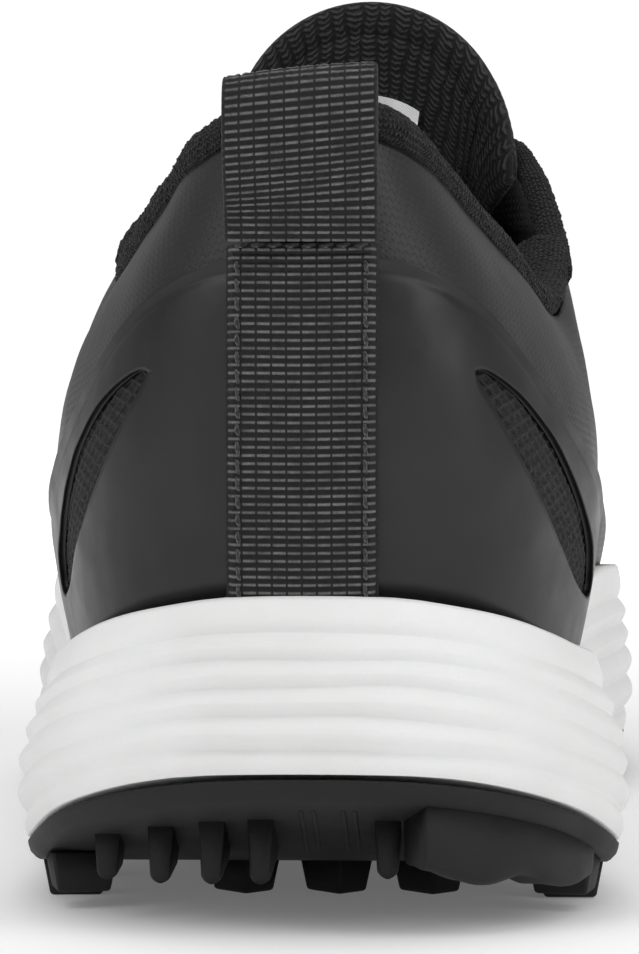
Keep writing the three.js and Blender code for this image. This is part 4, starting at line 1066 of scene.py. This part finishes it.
def stitch_row(points, normals, pitch, length, radius, sink=0.05):
    """Short threads along a line of points, each dipping into the cloth at its ends."""
    grids = []
    walk = np.concatenate([[0], np.cumsum(np.linalg.norm(np.diff(points, axis=0), axis=1))])
    for k in range(int(walk[-1] / pitch)):
        s = k * pitch + 0.5 * (pitch - length) + np.linspace(0, length, 9)
        p = np.stack([np.interp(s, walk, points[:, c]) for c in range(3)], -1)
        n = unit(np.stack([np.interp(s, walk, normals[:, c]) for c in range(3)], -1))
        arch = np.sin(np.linspace(0, math.pi, 9)) ** 0.6
        sway = np.linspace(-0.5, 0.5, 9)[:, None] * radius * unit(np.cross(n, np.gradient(p, axis=0)))
        p = p + n * ((arch - 0.6) * radius * 1.4 - sink)[:, None] + sway
        grids.append(solid_tube(p, radius * (0.55 + 0.45 * arch), 8))
    return grids


def strap(name, outer, inner, x, y):
    """A webbing strap: outer and inner grids of points, with rounded selvedges."""
    faces = grid_faces(*outer.shape[:2])
    uv = np.stack([np.broadcast_to(x[None, :], outer.shape[:2]), y], -1)
    flat = lambda a: a.reshape(-1, a.shape[-1])
    return thick_sheet(name, flat(outer), flat(inner), faces, flat(uv), 3, 0.3)


def heel_strap():
    half = WEBBING_WIDTH / 2 - 0.3
    x = np.linspace(-half, half, 180)
    t = np.linspace(WEBBING_FOOT, WEBBING_HEAD, 520)
    base = heel_points(WEBBING_OFFSET + x, t, WEBBING_IN)
    n = grid_normals(base, loop_columns=False)
    n = n if n[..., 1].mean() < 0 else -n
    step = np.linalg.norm(np.diff(base, axis=0), axis=-1)
    y = np.concatenate([np.zeros((1, len(x))), np.cumsum(step, axis=0)])
    y = y + 0.35 * np.cos(x / half * math.pi / 2)[None, :]
    relief = weave_relief(np.broadcast_to(x[None, :], y.shape), y, base)
    edge = 1 - 0.5 * smoothstep(half - 1.1, half, np.abs(x))[None, :]
    top = base + n * (WEBBING_THICK * edge - 0.3 + relief)[..., None]
    # the strap is let down to the film, so nothing shows under its edges
    strip = strap("heel_strap", top, base - n * 0.45, x, y)
    grids = []
    for place in (STITCH_INSET - half, half - STITCH_INSET):
        column = int(np.argmin(np.abs(x - place)))
        grids += stitch_row(top[:, column], n[:, column], 2.9, 2.3, 0.3)
    row = int(np.argmin(np.abs(top[:, 90, 2] - LOOP_STITCH)))
    grids += stitch_row(top[row, 8:-8], n[row, 8:-8], 2.4, 2.0, 0.34)
    return strip, merge_grids("heel_strap_stitches", grids)


def loop_path():
    """The pull loop's middle line, evenly walked, in the Y-Z plane."""
    line = np.array([(0, a * LOOP_STAND, b * LOOP_HEIGHT) for a, b in LOOP_LINE])
    n = len(line)
    s = np.linspace(0, n - 1, 600)
    i = np.minimum(s.astype(int), n - 2)
    f = (s - i)[:, None]
    a, b, c, d = (line[np.clip(i + k, 0, n - 1)] for k in (-1, 0, 1, 2))
    m0, m1 = (c - a) / 2, (d - b) / 2
    p = ((2 * f**3 - 3 * f**2 + 1) * b + (f**3 - 2 * f**2 + f) * m0 + (3 * f**2 - 2 * f**3) * c
         + (f**3 - f**2) * m1)
    walk = np.concatenate([[0], np.cumsum(np.linalg.norm(np.diff(p, axis=0), axis=1))])
    at = np.linspace(0, walk[-1], 480)
    return np.stack([np.interp(at, walk, p[:, k]) for k in range(3)], -1), at


def pull_loop():
    root = heel_points(np.array([WEBBING_OFFSET]), [WEBBING_HEAD], WEBBING_IN + WEBBING_THICK)[0, 0]
    line, at = loop_path()
    line = line + np.array([0, root[1] - WEBBING_THICK - CLEAR, root[2] + CLEAR + 0.4])
    along = unit(np.gradient(line, axis=0))
    out = np.stack([np.zeros(len(line)), -along[:, 2], along[:, 1]], -1)
    half = WEBBING_WIDTH / 2 - 0.3
    x = np.linspace(-half, half, 180)
    across = np.zeros((len(line), len(x), 3))
    across[..., 0] = WEBBING_OFFSET + x[None, :]
    middle = line[:, None, :] * np.array([0, 1, 1]) + across
    # the free edge rises a little towards the medial side and the strap is cupped
    up = smoothstep(0.15, 0.5, np.sin(at / at[-1] * math.pi))[:, None] * (x / half)[None, :]
    middle[..., 2] += 1.0 * up
    cup = 0.35 * (x / half)[None, :] ** 2 * np.sin(at / at[-1] * math.pi)[:, None]
    n = np.broadcast_to(out[:, None, :], middle.shape)
    middle = middle - n * cup[..., None]
    y = np.broadcast_to(at[:, None], middle.shape[:2]) + 0.0
    xx = np.broadcast_to(x[None, :], y.shape)
    front = middle + n * (WEBBING_THICK / 2 - 0.3 + weave_relief(xx, y, middle))[..., None]
    back = middle - n * (WEBBING_THICK / 2 - 0.3 + weave_relief(xx, y + 0.5, middle))[..., None]
    return strap("pull_loop_strap", front, back, x, y)


dress(eyestay_stitches(), LACE, "overlay", "shoe")
strip, threads = heel_strap()
dress(strip, WEBBING, "webbing", "shoe", "heel_webbing")
dress(threads, LACE, "webbing", "shoe")
dress(pull_loop(), WEBBING, "webbing", "pull_loop", "pull_loop")

# ---- tongue, label, lace -----------------------------------------------------------------------------
LACE_RADIUS = 1.2
LACE_DEPTH = VAMP_LINING_DEPTH + LINING + 2 * CLEAR + LACE_RADIUS
TONGUE_DEPTH = LACE_DEPTH + LACE_RADIUS + CLEAR + 0.3
TONGUE_WING, TONGUE_CROWN, TONGUE_THICK, TONGUE_RISE = 10.0, 0.3, 6.0, 28.5
TONGUE_HALF, TONGUE_WRAP, TONGUE_LEAN = 24.5, 4.0, 2.0
TONGUE_LOW, TONGUE_HIGH = 14.5, 7.3


def tongue_row(k, wing_points=12, middle_points=31):
    """One row of the tongue's upper face, from the medial wing to the lateral one."""
    def wing(side):
        w = np.full(wing_points, ring_of(side, k))
        reach = TONGUE_WING * (1 - np.linspace(0, 1, wing_points))
        return on_upper(w, below_top(w, reach), -TONGUE_DEPTH)

    medial, lateral = wing(1), wing(-1)
    a, b = medial[-1], lateral[-1]
    reach = np.linalg.norm(b - a) * TONGUE_CROWN
    a2 = a + rib_up(ring_of(1, k), 1.0) * reach
    b2 = b + rib_up(ring_of(-1, k), 1.0) * reach
    s = (np.arange(middle_points) + 1)[:, None] / (middle_points + 1)
    arch = (1 - s) ** 3 * a + 3 * (1 - s) ** 2 * s * a2 + 3 * (1 - s) * s * s * b2 + s**3 * b
    return np.concatenate([medial, arch, lateral[::-1]])


def tongue_top(lowest, steps):
    """Rows above the eyestays, which round off into an arch."""
    count = len(lowest)
    middle = lowest[(count - 1) // 2]
    # the CAD's columns are its control points, so turns follow the same course
    spots = [0, 6, 11, 16.33, 21.67, 27, 32.33, 37.67, 43, 48, 54]
    turn = (np.interp(np.arange(count), spots, np.linspace(0, 1, 11)) - 0.5) * math.pi
    rows = []
    for share in steps:
        goal = np.stack([
            middle[0] - np.sin(turn) * TONGUE_HALF,
            middle[1] - TONGUE_LEAN - TONGUE_WRAP * np.sin(turn) ** 2 + TONGUE_LEAN * share**2,
            middle[2] - 2 + TONGUE_RISE * (np.cos(turn) ** 0.9 - 0.12),
        ], -1)
        rows.append(lowest * (1 - share) + goal * share)
    return rows


def resample(grid, rows, columns):
    """An evenly walked grid over the same surface."""
    def even(lines, count):
        out = []
        for line in lines:
            walk = np.concatenate([[0], np.cumsum(np.linalg.norm(np.diff(line, axis=0), axis=1))])
            at = np.linspace(0, walk[-1], count)
            out.append(np.stack([np.interp(at, walk, line[:, k]) for k in range(3)], -1))
        return np.array(out)
    grid = even(grid, columns)
    return even(grid.transpose(1, 0, 2), rows).transpose(1, 0, 2)


def tongue_grid():
    ks = np.linspace(TONGUE_LOW, TONGUE_HIGH, 60)
    rows = [tongue_row(k) for k in ks]
    grid = np.array(rows + tongue_top(rows[-1], np.linspace(0, 1, 25)[1:]))
    return resample(grid, 420, 260)


def tongue_pad():
    grid = tongue_grid()
    rows, columns = grid.shape[:2]
    normal = grid_normals(grid, loop_columns=False)
    if normal[:, :, 2].mean() < 0:
        normal = -normal
    u = np.cumsum(np.linalg.norm(np.diff(grid[:, :1], axis=0, prepend=grid[:1, :1]), axis=-1), axis=0)
    v = np.cumsum(np.linalg.norm(np.diff(grid[:1], axis=1, prepend=grid[:1, :1]), axis=-1), axis=1)
    u, v = np.broadcast_to(u, grid.shape[:2]), np.broadcast_to(v, grid.shape[:2])
    # distance from the edge, which thins the pad to a rounded rim
    total_u, total_v = u.max(), v.max()
    edge = np.minimum(np.minimum(v, total_v - v), np.minimum(total_u - u, u))
    full = np.sqrt(np.clip(1 - (1 - np.clip(edge / 3.2, 0, 1)) ** 2, 0.0, 1))
    centre = grid - normal * (TONGUE_THICK / 2)
    wave = 0.35 * fractal(grid, 31, 22.0, 2)
    seam = np.exp(-(((edge - 5.0) / 0.7) ** 2))
    top = centre + normal * ((TONGUE_THICK / 2 - 0.3) * full + knit_relief(v, u, grid, 33) * full * 0.9
                             - 0.5 * seam)[..., None]
    low = centre - normal * ((TONGUE_THICK / 2 - 0.3) * full + knit_relief(v, u, centre, 37) * full * 0.9
                             - 0.6 * seam + wave * full * 0.5)[..., None]
    flat = lambda p: p.reshape(-1, p.shape[-1])
    uv = np.stack([v, u], -1)
    pad = thick_sheet("tongue_pad", flat(top), flat(low), grid_faces(rows, columns), flat(uv), 1, 0.1)
    return pad, grid, normal


def size_label(grid, normal):
    """A small woven label, sewn on the tongue's inner face, with a slight uneven wave."""
    rows, columns = grid.shape[:2]
    i = np.linspace(0.845, 0.885, 60) * (rows - 1)
    j = np.linspace(0.37, 0.52, 120) * (columns - 1)
    ii, jj = np.meshgrid(i.astype(int), j.astype(int), indexing="ij")
    depth = TONGUE_THICK + 1.0 + 0.35 * fractal(grid[ii, jj], 41, 6.0, 2)
    face = grid[ii, jj] - normal[ii, jj] * depth[..., None]
    back = face + normal[ii, jj] * 0.45
    uv = np.stack([jj * 0.2, ii * 0.2], -1).astype(float)
    flat = lambda p: p.reshape(-1, p.shape[-1])
    return thick_sheet("size_label_cloth", flat(face), flat(back), grid_faces(60, 120), flat(uv), 2, 0.1)


pad, grid, normal = tongue_pad()
dress(pad, KNIT, "knit", "tongue", "tongue_cover", "tongue_foam", "tongue_lining")
dress(size_label(grid, normal), LABEL, "white_cloth", "tongue", "size_label")

LACE_OVER = 0.35 + 0.7 + 3 * CLEAR + LACE_RADIUS + 0.4
LACE_EDGE = 1.5
TOP_PAIR = EYELET_PAIRS - 1


def lace_crossing(pair, lift):
    """A point above the tongue's middle, between two pairs of eyelets."""
    k = eyelet_station(pair)
    row, ahead = tongue_row(k, 3, 5), tongue_row(k + 0.3, 3, 5)
    slope = unit(row[5] - ahead[5])
    out = unit(np.array([0, -slope[2], slope[1]]))
    out = -out if out[2] < 0 else out
    return row[5] + out * (LACE_RADIUS + 3 * CLEAR + 0.3 + lift)


def lace_strand(side, lift):
    over = lambda s, pair, inset=EYELET_INSET: eyelet_point(s, pair, LACE_OVER, inset)
    under = lambda s, pair, inset=EYELET_INSET: eyelet_point(s, pair, -LACE_DEPTH, inset)
    points = [eyelet_point(side, 0, -1), under(side, 0), under(side, 0, LACE_EDGE)]
    here = side
    for pair in range(TOP_PAIR):
        if pair:
            points += [eyelet_point(here, pair, -1), over(here, pair), over(here, pair, LACE_EDGE)]
        points.append(lace_crossing(pair + 0.5, lift))
        here = -here
        if pair + 1 < TOP_PAIR:
            points += [under(here, pair + 1, LACE_EDGE), under(here, pair + 1)]
        else:
            points += [over(here, TOP_PAIR, LACE_EDGE), over(here, TOP_PAIR)]
            points += [eyelet_point(here, TOP_PAIR, -1), under(here, TOP_PAIR),
                       under(here, TOP_PAIR, 12)]
    return points


def centripetal(points, per_span):
    """A centripetal Catmull-Rom curve through the points."""
    p = np.asarray(points, float)
    p = np.concatenate([[2 * p[0] - p[1]], p, [2 * p[-1] - p[-2]]])
    out = []
    for i in range(1, len(p) - 2):
        a, b, c, d = p[i - 1 : i + 3]
        gaps = [max(np.linalg.norm(v), 1e-6) ** 0.5 for v in (b - a, c - b, d - c)]
        m0 = ((b - a) / gaps[0] - (c - a) / (gaps[0] + gaps[1]) + (c - b) / gaps[1]) * gaps[1]
        m1 = ((c - b) / gaps[1] - (d - b) / (gaps[1] + gaps[2]) + (d - c) / gaps[2]) * gaps[1]
        s = np.linspace(0, 1, per_span, endpoint=False)[:, None]
        out.append((2 * s**3 - 3 * s**2 + 1) * b + (s**3 - 2 * s**2 + s) * m0
                   + (3 * s**2 - 2 * s**3) * c + (s**3 - s**2) * m1)
    return np.concatenate(out + [p[-2:-1]])


def lace():
    over = lambda s, inset=EYELET_INSET: eyelet_point(s, 0, LACE_OVER, inset)
    points = lace_strand(1, 0.0)[::-1]
    points += [over(1), over(1, LACE_EDGE), lace_crossing(0, 4 * LACE_RADIUS)]
    points += [over(-1, LACE_EDGE), over(-1)]
    points += lace_strand(-1, 2 * LACE_RADIUS + CLEAR + 0.3)
    path = centripetal(points, 24)
    rings, uv = solid_tube(path, LACE_RADIUS * 0.97, 20)
    rings = [r + 0.04 * fractal(r, 51, 1.3, 2)[:, None] * unit(r - r.mean(0)) for r in rings]
    return merge_grids("lace_cord", [(rings, uv)])


dress(lace(), LACE, "lace", "shoe", "lace")

# ---- sockliner -----------------------------------------------------------------------------------------
BOARD_THICK, INSOLE, INSOLE_CLOTH = 1.2, 4.0, 0.8
INSOLE_INSET = LINING_DEPTH + LINING + 2 * CLEAR


def footbed(y):
    return smooth_line(FOOTBED_LINE, y, 6.0)


def sockliner():
    w = np.linspace(0, RING, 600, endpoint=False)
    edge = on_curve(FEATHER_RING, w) - outward(FEATHER_RING, w) * INSOLE_INSET
    base = CLEAR + BOARD_THICK + CLEAR
    thick = INSOLE + CLEAR + INSOLE_CLOTH
    rings = []
    for inset, rise in [(1.4, 0.0), (0.5, 0.0), (0.0, 0.5), (0.0, thick - 1.2), (0.4, thick - 0.35),
                        (1.4, thick), (4.0, thick)]:
        ring = edge - outward(FEATHER_RING, w) * inset
        ring[:, 2] = footbed(edge[:, 1]) + base + rise
        rings.append(ring)
    top, low = rings[-1], rings[0]
    half = len(w) // 2
    # across the foot: rows from the medial edge to the lateral one, so the top can be full
    def face(ring, sign):
        left, right = ring[: half + 1], np.concatenate([ring[:1], ring[half:][::-1]])
        s = np.linspace(0, 1, 60)[None, :, None]
        p = left[:, None] * (1 - s) + right[:, None] * s
        width = np.linalg.norm(left - right, axis=-1)[:, None]
        full = np.sin(math.pi * s[..., 0]) ** 0.7 * np.clip(width / 60, 0, 1)
        p[..., 2] += sign * (0.3 * full + 0.06 * fractal(p, 61, 5.0, 2) * full)
        return p
    grids = face(top, 1), face(low, 0)
    verts = np.concatenate(rings + [g.reshape(-1, 3) for g in grids])
    count = len(w)
    faces = list(map(tuple, grid_faces(len(rings), count, loop_columns=True)))
    start = len(rings) * count
    faces += list(map(tuple, grid_faces(half + 1, 60, start=start)[:, ::-1]))
    faces += list(map(tuple, grid_faces(half + 1, 60, start=start + (half + 1) * 60)))
    quads = np.array(faces)
    if signed_volume(verts - verts.mean(0), quads) < 0:
        quads = quads[:, ::-1]
    obj = make_mesh("sockliner", verts, clean_faces(quads), verts[:, :2])
    return join_duplicates(obj, 5e-6)


pad = dress(sockliner(), SOCKLINER, "knit", "insole", "insole_foam", "insole_cloth")

# ---- midsole -------------------------------------------------------------------------------------------
WALL_FLARE, EDGE_TUCK = 0.72, 1.6
GROOVES = [0.2, 0.345, 0.505, 0.675, 0.86]  # shares of the way down
GROOVE_DEPTH = 1.35


def sole_height(y):
    return smooth_line(SOLE_LINE, y, 4.0)


def wall_grid(w, downs):
    """The midsole's side wall, one row for each station: a plain band, then ridges and grooves."""
    foot = on_curve(FEATHER_RING, w)
    foot[:, 2] = rim_height(foot[:, 1])
    rim = foot + outward(FEATHER_RING, w) * RIM_LEDGE
    wide = on_curve(SOLE_RING, w)
    low = sole_height(wide[:, 1]) + PLATE + CLEAR
    out = outward(SOLE_RING, w)
    spread = np.sin(np.minimum(downs / WALL_FLARE, 1) * math.pi / 2)
    p = rim[:, None] * (1 - spread)[None, :, None] + wide[:, None] * spread[None, :, None]
    tuck = EDGE_TUCK * np.maximum(0, (downs - WALL_FLARE) / (1 - WALL_FLARE)) ** 2
    turn = 2 * math.pi * w / RING
    # the grooves run out softly beside the heel and come back along the sides
    k = station(w)
    depth = 1 - 0.6 * smoothstep(0.8, 2.2, k) + 0.45 * smoothstep(3.2, 4.6, k)
    groove = np.zeros((len(w), len(downs)))
    for row, place in enumerate(GROOVES):
        sway = 0.012 * np.sin(6 * turn + 1.7 * row) + 0.006 * np.sin(17 * turn + row)
        sway = sway * min(row / 2 + 0.2, 1)
        far = np.abs(downs[None, :] - (place + sway)[:, None]) / 0.05
        groove = np.maximum(groove, np.exp(-(far**1.35)) * depth[:, None])
    swell = np.zeros_like(groove)
    edges = [0.125] + GROOVES + [0.99]
    for row in range(1, len(GROOVES) + 1):
        middle, half = (edges[row] + edges[row + 1]) / 2, (edges[row + 1] - edges[row]) / 2
        side = np.clip(1 - ((downs - middle) / half) ** 2, 0, 1)
        swell = swell + side[None, :] * (0.25 + 0.15 * np.sin(11 * turn + 2.1 * row))[:, None]
    p = p - out[:, None] * (groove * GROOVE_DEPTH - 0.5 * swell)[..., None]
    p = p - out[:, None] * tuck[None, :, None]
    p[..., 2] = foot[:, 2][:, None] + (low - foot[:, 2])[:, None] * downs[None, :]
    return p


def midsole():
    w = np.linspace(0, RING, 900, endpoint=False)
    downs = np.linspace(0.015, 1, 190)
    wall = wall_grid(w, downs)
    edge = on_curve(FEATHER_RING, w) + outward(FEATHER_RING, w) * 0.05
    lip = edge.copy()
    lip[:, 2] = rim_height(edge[:, 1])
    shelf = on_curve(FEATHER_RING, w) + outward(FEATHER_RING, w) * (RIM_LEDGE - 0.5)
    shelf[:, 2] = rim_height(edge[:, 1]) + 0.05
    under_lip = lip.copy()
    under_lip[:, 2] -= 0.6
    cup = edge.copy()
    cup[:, 2] = footbed(edge[:, 1])
    rings = [cup, under_lip, lip, shelf] + list(wall.transpose(1, 0, 2))
    foot = wall[:, -1] - outward(SOLE_RING, w) * 1.0
    foot[:, 2] -= 0.05
    rings.append(foot)
    walk = around_mm(w)
    uv = np.concatenate([np.stack([walk, r[:, 2]], -1) for r in rings])
    return ring_solid("midsole_foam_body", rings, uv)


dress(midsole(), WHITE_FOAM, "midsole_foam", "shoe", "midsole")

# ---- outsole -------------------------------------------------------------------------------------------
PLATE_TUCK, LUG_ROOT, LUG_TAPER = 2.4, 0.9, 0.82
GROUND = 1.0 - LUG_HEIGHT


def soft_block(x, y, width, length, turn=0.0):
    """A lug: a block that narrows towards the ground, with rounded edges."""
    top = float(np.interp(y, *zip(*SOLE_LINE))) + LUG_ROOT
    low = max(float(np.interp(y, *zip(*SOLE_LINE))) - LUG_HEIGHT, GROUND)
    bm = bmesh.new()
    bmesh.ops.create_cube(bm, size=1.0)
    for v in bm.verts:
        taper = LUG_TAPER if v.co.z < 0 else 1.04
        v.co = Vector((v.co.x * width * taper, v.co.y * length * taper, low if v.co.z < 0 else top))
    edges = [e for e in bm.edges if min(v.co.z for v in e.verts) < top - 0.5]
    bmesh.ops.bevel(bm, geom=edges, offset=0.7, segments=4, profile=0.6, affect="EDGES")
    c, s = math.cos(turn), math.sin(turn)
    verts = np.array([(v.co.x * c - v.co.y * s + x, v.co.x * s + v.co.y * c + y, v.co.z) for v in bm.verts])
    bm.verts.index_update()
    faces = [tuple(v.index for v in f.verts) for f in bm.faces]
    bm.free()
    return verts, faces


BAR_WIDTH, BAR_END = 3.8, 34.0
# middle, y of the rear face, height of the foot
HEEL_BARS = [(-30, 24, 2), (-22, 19, 2.2), (-14.5, 15.5, 2.6), (-7.5, 14, 2.8), (10.5, 14.5, 3.6),
             (17, 17, 6.4)]
# faint ribs on the panel between the fins
PANEL_RIBS = [(x, 8, 99, 0.9, 0.25) for x in (-1.6, 0.2, 4.4, 6.0)]
WAVE_INSET = (3.6, 12.5)
WAVE_FOOT = [(1.15, 6), (1.4, 5), (1.65, 3.6), (1.9, 3), (2.15, 3.6), (2.4, 4.2), (2.65, 3.4),
             (2.9, 1.9), (3.15, 1), (3.4, 0.9), (3.65, 1.4)]


def heel_bar(x, start, foot, width=BAR_WIDTH, drop=1.0):
    """A fin on the heel's slope, with a rounded foot: its root follows the plate."""
    ys = np.linspace(start, BAR_END, 40)
    root = sole_height(ys) + LUG_ROOT
    low = np.minimum(foot, root - LUG_ROOT - drop)
    half = width / 2
    angles = np.linspace(0, math.pi, 13)
    rings = []
    for k, (y, hi, lo) in enumerate(zip(ys, root, low)):
        first = min(k, len(ys) - 1 - k) / 2.5
        end = math.sqrt(max(0.05, 1 - (1 - min(first, 1)) ** 2))  # rounds off both ends
        radius = half * LUG_TAPER
        foot_arc = [(-radius * math.cos(a) * (0.6 + 0.4 * end), lo + radius * (1 - math.sin(a)) * 0.9)
                    for a in angles]
        section = [(-half, hi)] + foot_arc + [(half, hi)]
        rings.append(np.array([(x + dx, y, z) for dx, z in section]))
    uv = [r[:, 1:] for r in rings]
    return rings, uv


def wave_wall():
    """The wavy wall under the heel's medial side."""
    w = np.linspace(WAVE_FOOT[0][0], WAVE_FOOT[-1][0], 90)
    stations, feet = zip(*WAVE_FOOT)
    foot = sum(np.interp(w + s, stations, feet) for s in (-0.1, -0.05, 0, 0.05, 0.1)) / 5
    out = outward(SOLE_RING, w)
    outer, inner = (on_curve(SOLE_RING, w) - out * inset for inset in WAVE_INSET)
    rings = []
    for a, b, f, o in zip(outer, inner, foot, out):
        top_a, top_b = sole_height(a[1]) + LUG_ROOT, sole_height(b[1]) + LUG_ROOT
        f = min(f, top_b - LUG_ROOT - 0.6)
        section = [(0.4, top_a), (0.2, f + 3.0), (0.1, f + 1.6), (-0.15, f + 0.7), (-0.8, f + 0.12),
                   (-1.6, f), (-4.5, f + 0.15), (-7.4, f), (-8.3, f + 0.3), (-8.8, f + 1.0), (-8.9, top_b)]
        rings.append(np.array([(a[0] + o[0] * s, a[1] + o[1] * s, max(z, f)) for s, z in section]))
    return rings, [r[:, 1:] for r in rings]


def lug_places():
    for a, b, every in [(3.9, 5.6, 0.85), (8.6, 14.6, 0.62), (15.4, 21.4, 0.62), (24.4, 26.1, 0.85)]:
        for k in range(int((b - a) / every + 1e-6) + 1):
            w = np.array([a + k * every])
            out = outward(SOLE_RING, w)[0]
            p = on_curve(SOLE_RING, w)[0] - out * (PLATE_TUCK + 6.4)
            yield p[0], p[1], 9.5, 8, math.atan2(out[1], out[0])
    for x in (-16, 0, 16):
        for k in range(3):
            yield x - 2, 168 + k * 21, 7, 9, math.pi / 4
    for x in (-12, 2, 16):
        yield x, 56, 7, 9, math.pi / 4
    for x in (-8, 10):
        yield x, 240, 7, 8, math.pi / 4


def outsole():
    w = np.linspace(0, RING, 900, endpoint=False)
    walk = around_mm(w)

    def ring(inset, rise):
        p = on_curve(SOLE_RING, w) - outward(SOLE_RING, w) * inset
        p[:, 2] = sole_height(p[:, 1]) + rise
        return p

    rings = [ring(EDGE_TUCK + 0.3, PLATE), ring(EDGE_TUCK, PLATE - 0.3), ring(EDGE_TUCK + 0.1, PLATE * 0.7),
             ring(EDGE_TUCK + 0.4, PLATE * 0.4), ring(PLATE_TUCK + 0.4, 0.35), ring(PLATE_TUCK + 1, 0.0)]
    uv = np.concatenate([np.stack([walk, r[:, 2]], -1) for r in rings])
    plate = ring_solid("outsole_body", rings, uv)
    verts, faces = [], []
    for place in lug_places():
        block, quads = soft_block(*place)
        start = sum(len(v) for v in verts)
        verts.append(block)
        faces += [tuple(i + start for i in f) for f in quads]
    verts = np.concatenate(verts)
    lugs = make_mesh("lugs", verts, faces, verts[:, :2])
    fins = merge_grids("fins", [heel_bar(*bar) for bar in HEEL_BARS + PANEL_RIBS] + [wave_wall()])
    return join_into(plate, lugs, fins)


dress(outsole(), RUBBER, "outsole_rubber", "shoe", "outsole")

# ---- the CAD nodes that stay as they are -----------------------------------------------------------
for node, material in (("strobel_board", BOARD), ("heel_counter", BOARD), ("toe_puff", BOARD)):
    obj = bpy.data.objects[node]
    obj.data.materials.clear()
    obj.data.materials.append(material)


# ---- floor, light and camera ----------------------------------------------------------------------
FLOOR_HALF, FLOOR_POINTS = 6000.0, 41
GLOW_REACH = (120.0, 700.0)  # the floor's own light grows between these distances from the middle
GLOW = (0.12, 0.65)  # from the first of these strengths to the second


def make_floor():
    m = Nodes("studio_floor")
    at = m.place_mm()
    color = m.mix(m.noise(at, 300.0, 2.0), (0.93, 0.93, 0.93, 1), (0.96, 0.96, 0.96, 1))
    material = m.finish(color, 0.9, specular=0.1)
    # painted light: the floor glows, more strongly away from the shoe, so it gets brighter away from the
    # shoe while the shade under it stays dark
    x, y, _ = m.split(at)
    far = m.math("SQRT", m.math("ADD", m.math("POWER", x, 2.0), m.math("POWER", y, 2.0)))
    m.put(m.shader.inputs["Emission Color"], (1, 1, 1, 1))
    m.put(m.shader.inputs["Emission Strength"], m.ramp(far, *GLOW_REACH, *GLOW))
    s = np.linspace(-1, 1, FLOOR_POINTS) * FLOOR_HALF
    xs, ys = np.meshgrid(s, s, indexing="ij")
    verts = np.stack([xs.ravel(), ys.ravel(), np.full(xs.size, GROUND)], -1)
    floor = make_mesh("floor", verts, grid_faces(FLOOR_POINTS, FLOOR_POINTS)[:, ::-1], verts[:, :2])
    floor.data.materials.append(material)


def area_light(name, place, target, size, power, color=(1, 1, 1)):
    data = bpy.data.lights.new(name, "AREA")
    data.shape = "RECTANGLE"
    data.size, data.size_y = size
    data.energy = power
    data.color = color
    light = bpy.data.objects.new(name, data)
    light.location = place
    light.rotation_euler = (Vector(target) - Vector(place)).to_track_quat("-Z", "Y").to_euler()
    bpy.context.scene.collection.objects.link(light)


AMBIENT, BACKDROP = 0.42, 1.02  # the backdrop's light, and its brightness as seen


def make_world():
    world = bpy.data.worlds.new("studio")
    world.use_nodes = True
    background = world.node_tree.nodes["Background"]
    background.inputs["Color"].default_value = (1, 1, 1, 1)
    # the backdrop is white, and it lights the shoe less than half as strongly as it looks
    seen = world.node_tree.nodes.new("ShaderNodeLightPath").outputs["Is Camera Ray"]
    strength = world.node_tree.nodes.new("ShaderNodeMapRange")
    strength.inputs["To Min"].default_value = AMBIENT
    strength.inputs["To Max"].default_value = BACKDROP
    world.node_tree.links.new(seen, strength.inputs["Value"])
    world.node_tree.links.new(strength.outputs[0], background.inputs["Strength"])
    bpy.context.scene.world = world


CAMERA_PLACE = Vector((0.02367, -0.74655, 0.0948))
CAMERA_YAW, CAMERA_PITCH = math.radians(-1.96), math.radians(-2.82)
LENS = 165.0


def make_camera():
    data = bpy.data.cameras.new("camera")
    data.lens = LENS
    data.sensor_width = 36
    data.clip_start, data.clip_end = 0.01, 50
    camera = bpy.data.objects.new("camera", data)
    ahead = Vector((math.sin(CAMERA_YAW) * math.cos(CAMERA_PITCH),
                    math.cos(CAMERA_YAW) * math.cos(CAMERA_PITCH), math.sin(CAMERA_PITCH)))
    camera.location = CAMERA_PLACE
    camera.rotation_euler = ahead.to_track_quat("-Z", "Y").to_euler()
    bpy.context.scene.collection.objects.link(camera)
    bpy.context.scene.camera = camera


bpy.context.scene.view_settings.view_transform = "Standard"
make_world()
make_floor()
area_light("key_left", (-0.75, -0.75, 0.75), (0, -0.1, 0.05), (0.6, 0.9), 3.6)
area_light("key_right", (0.85, -0.55, 0.6), (0, -0.1, 0.05), (0.45, 0.9), 3.4)
area_light("top", (0.0, -0.15, 1.3), (0, 0, 0), (1.6, 1.6), 6.6)
make_camera()

bpy.context.view_layer.update()
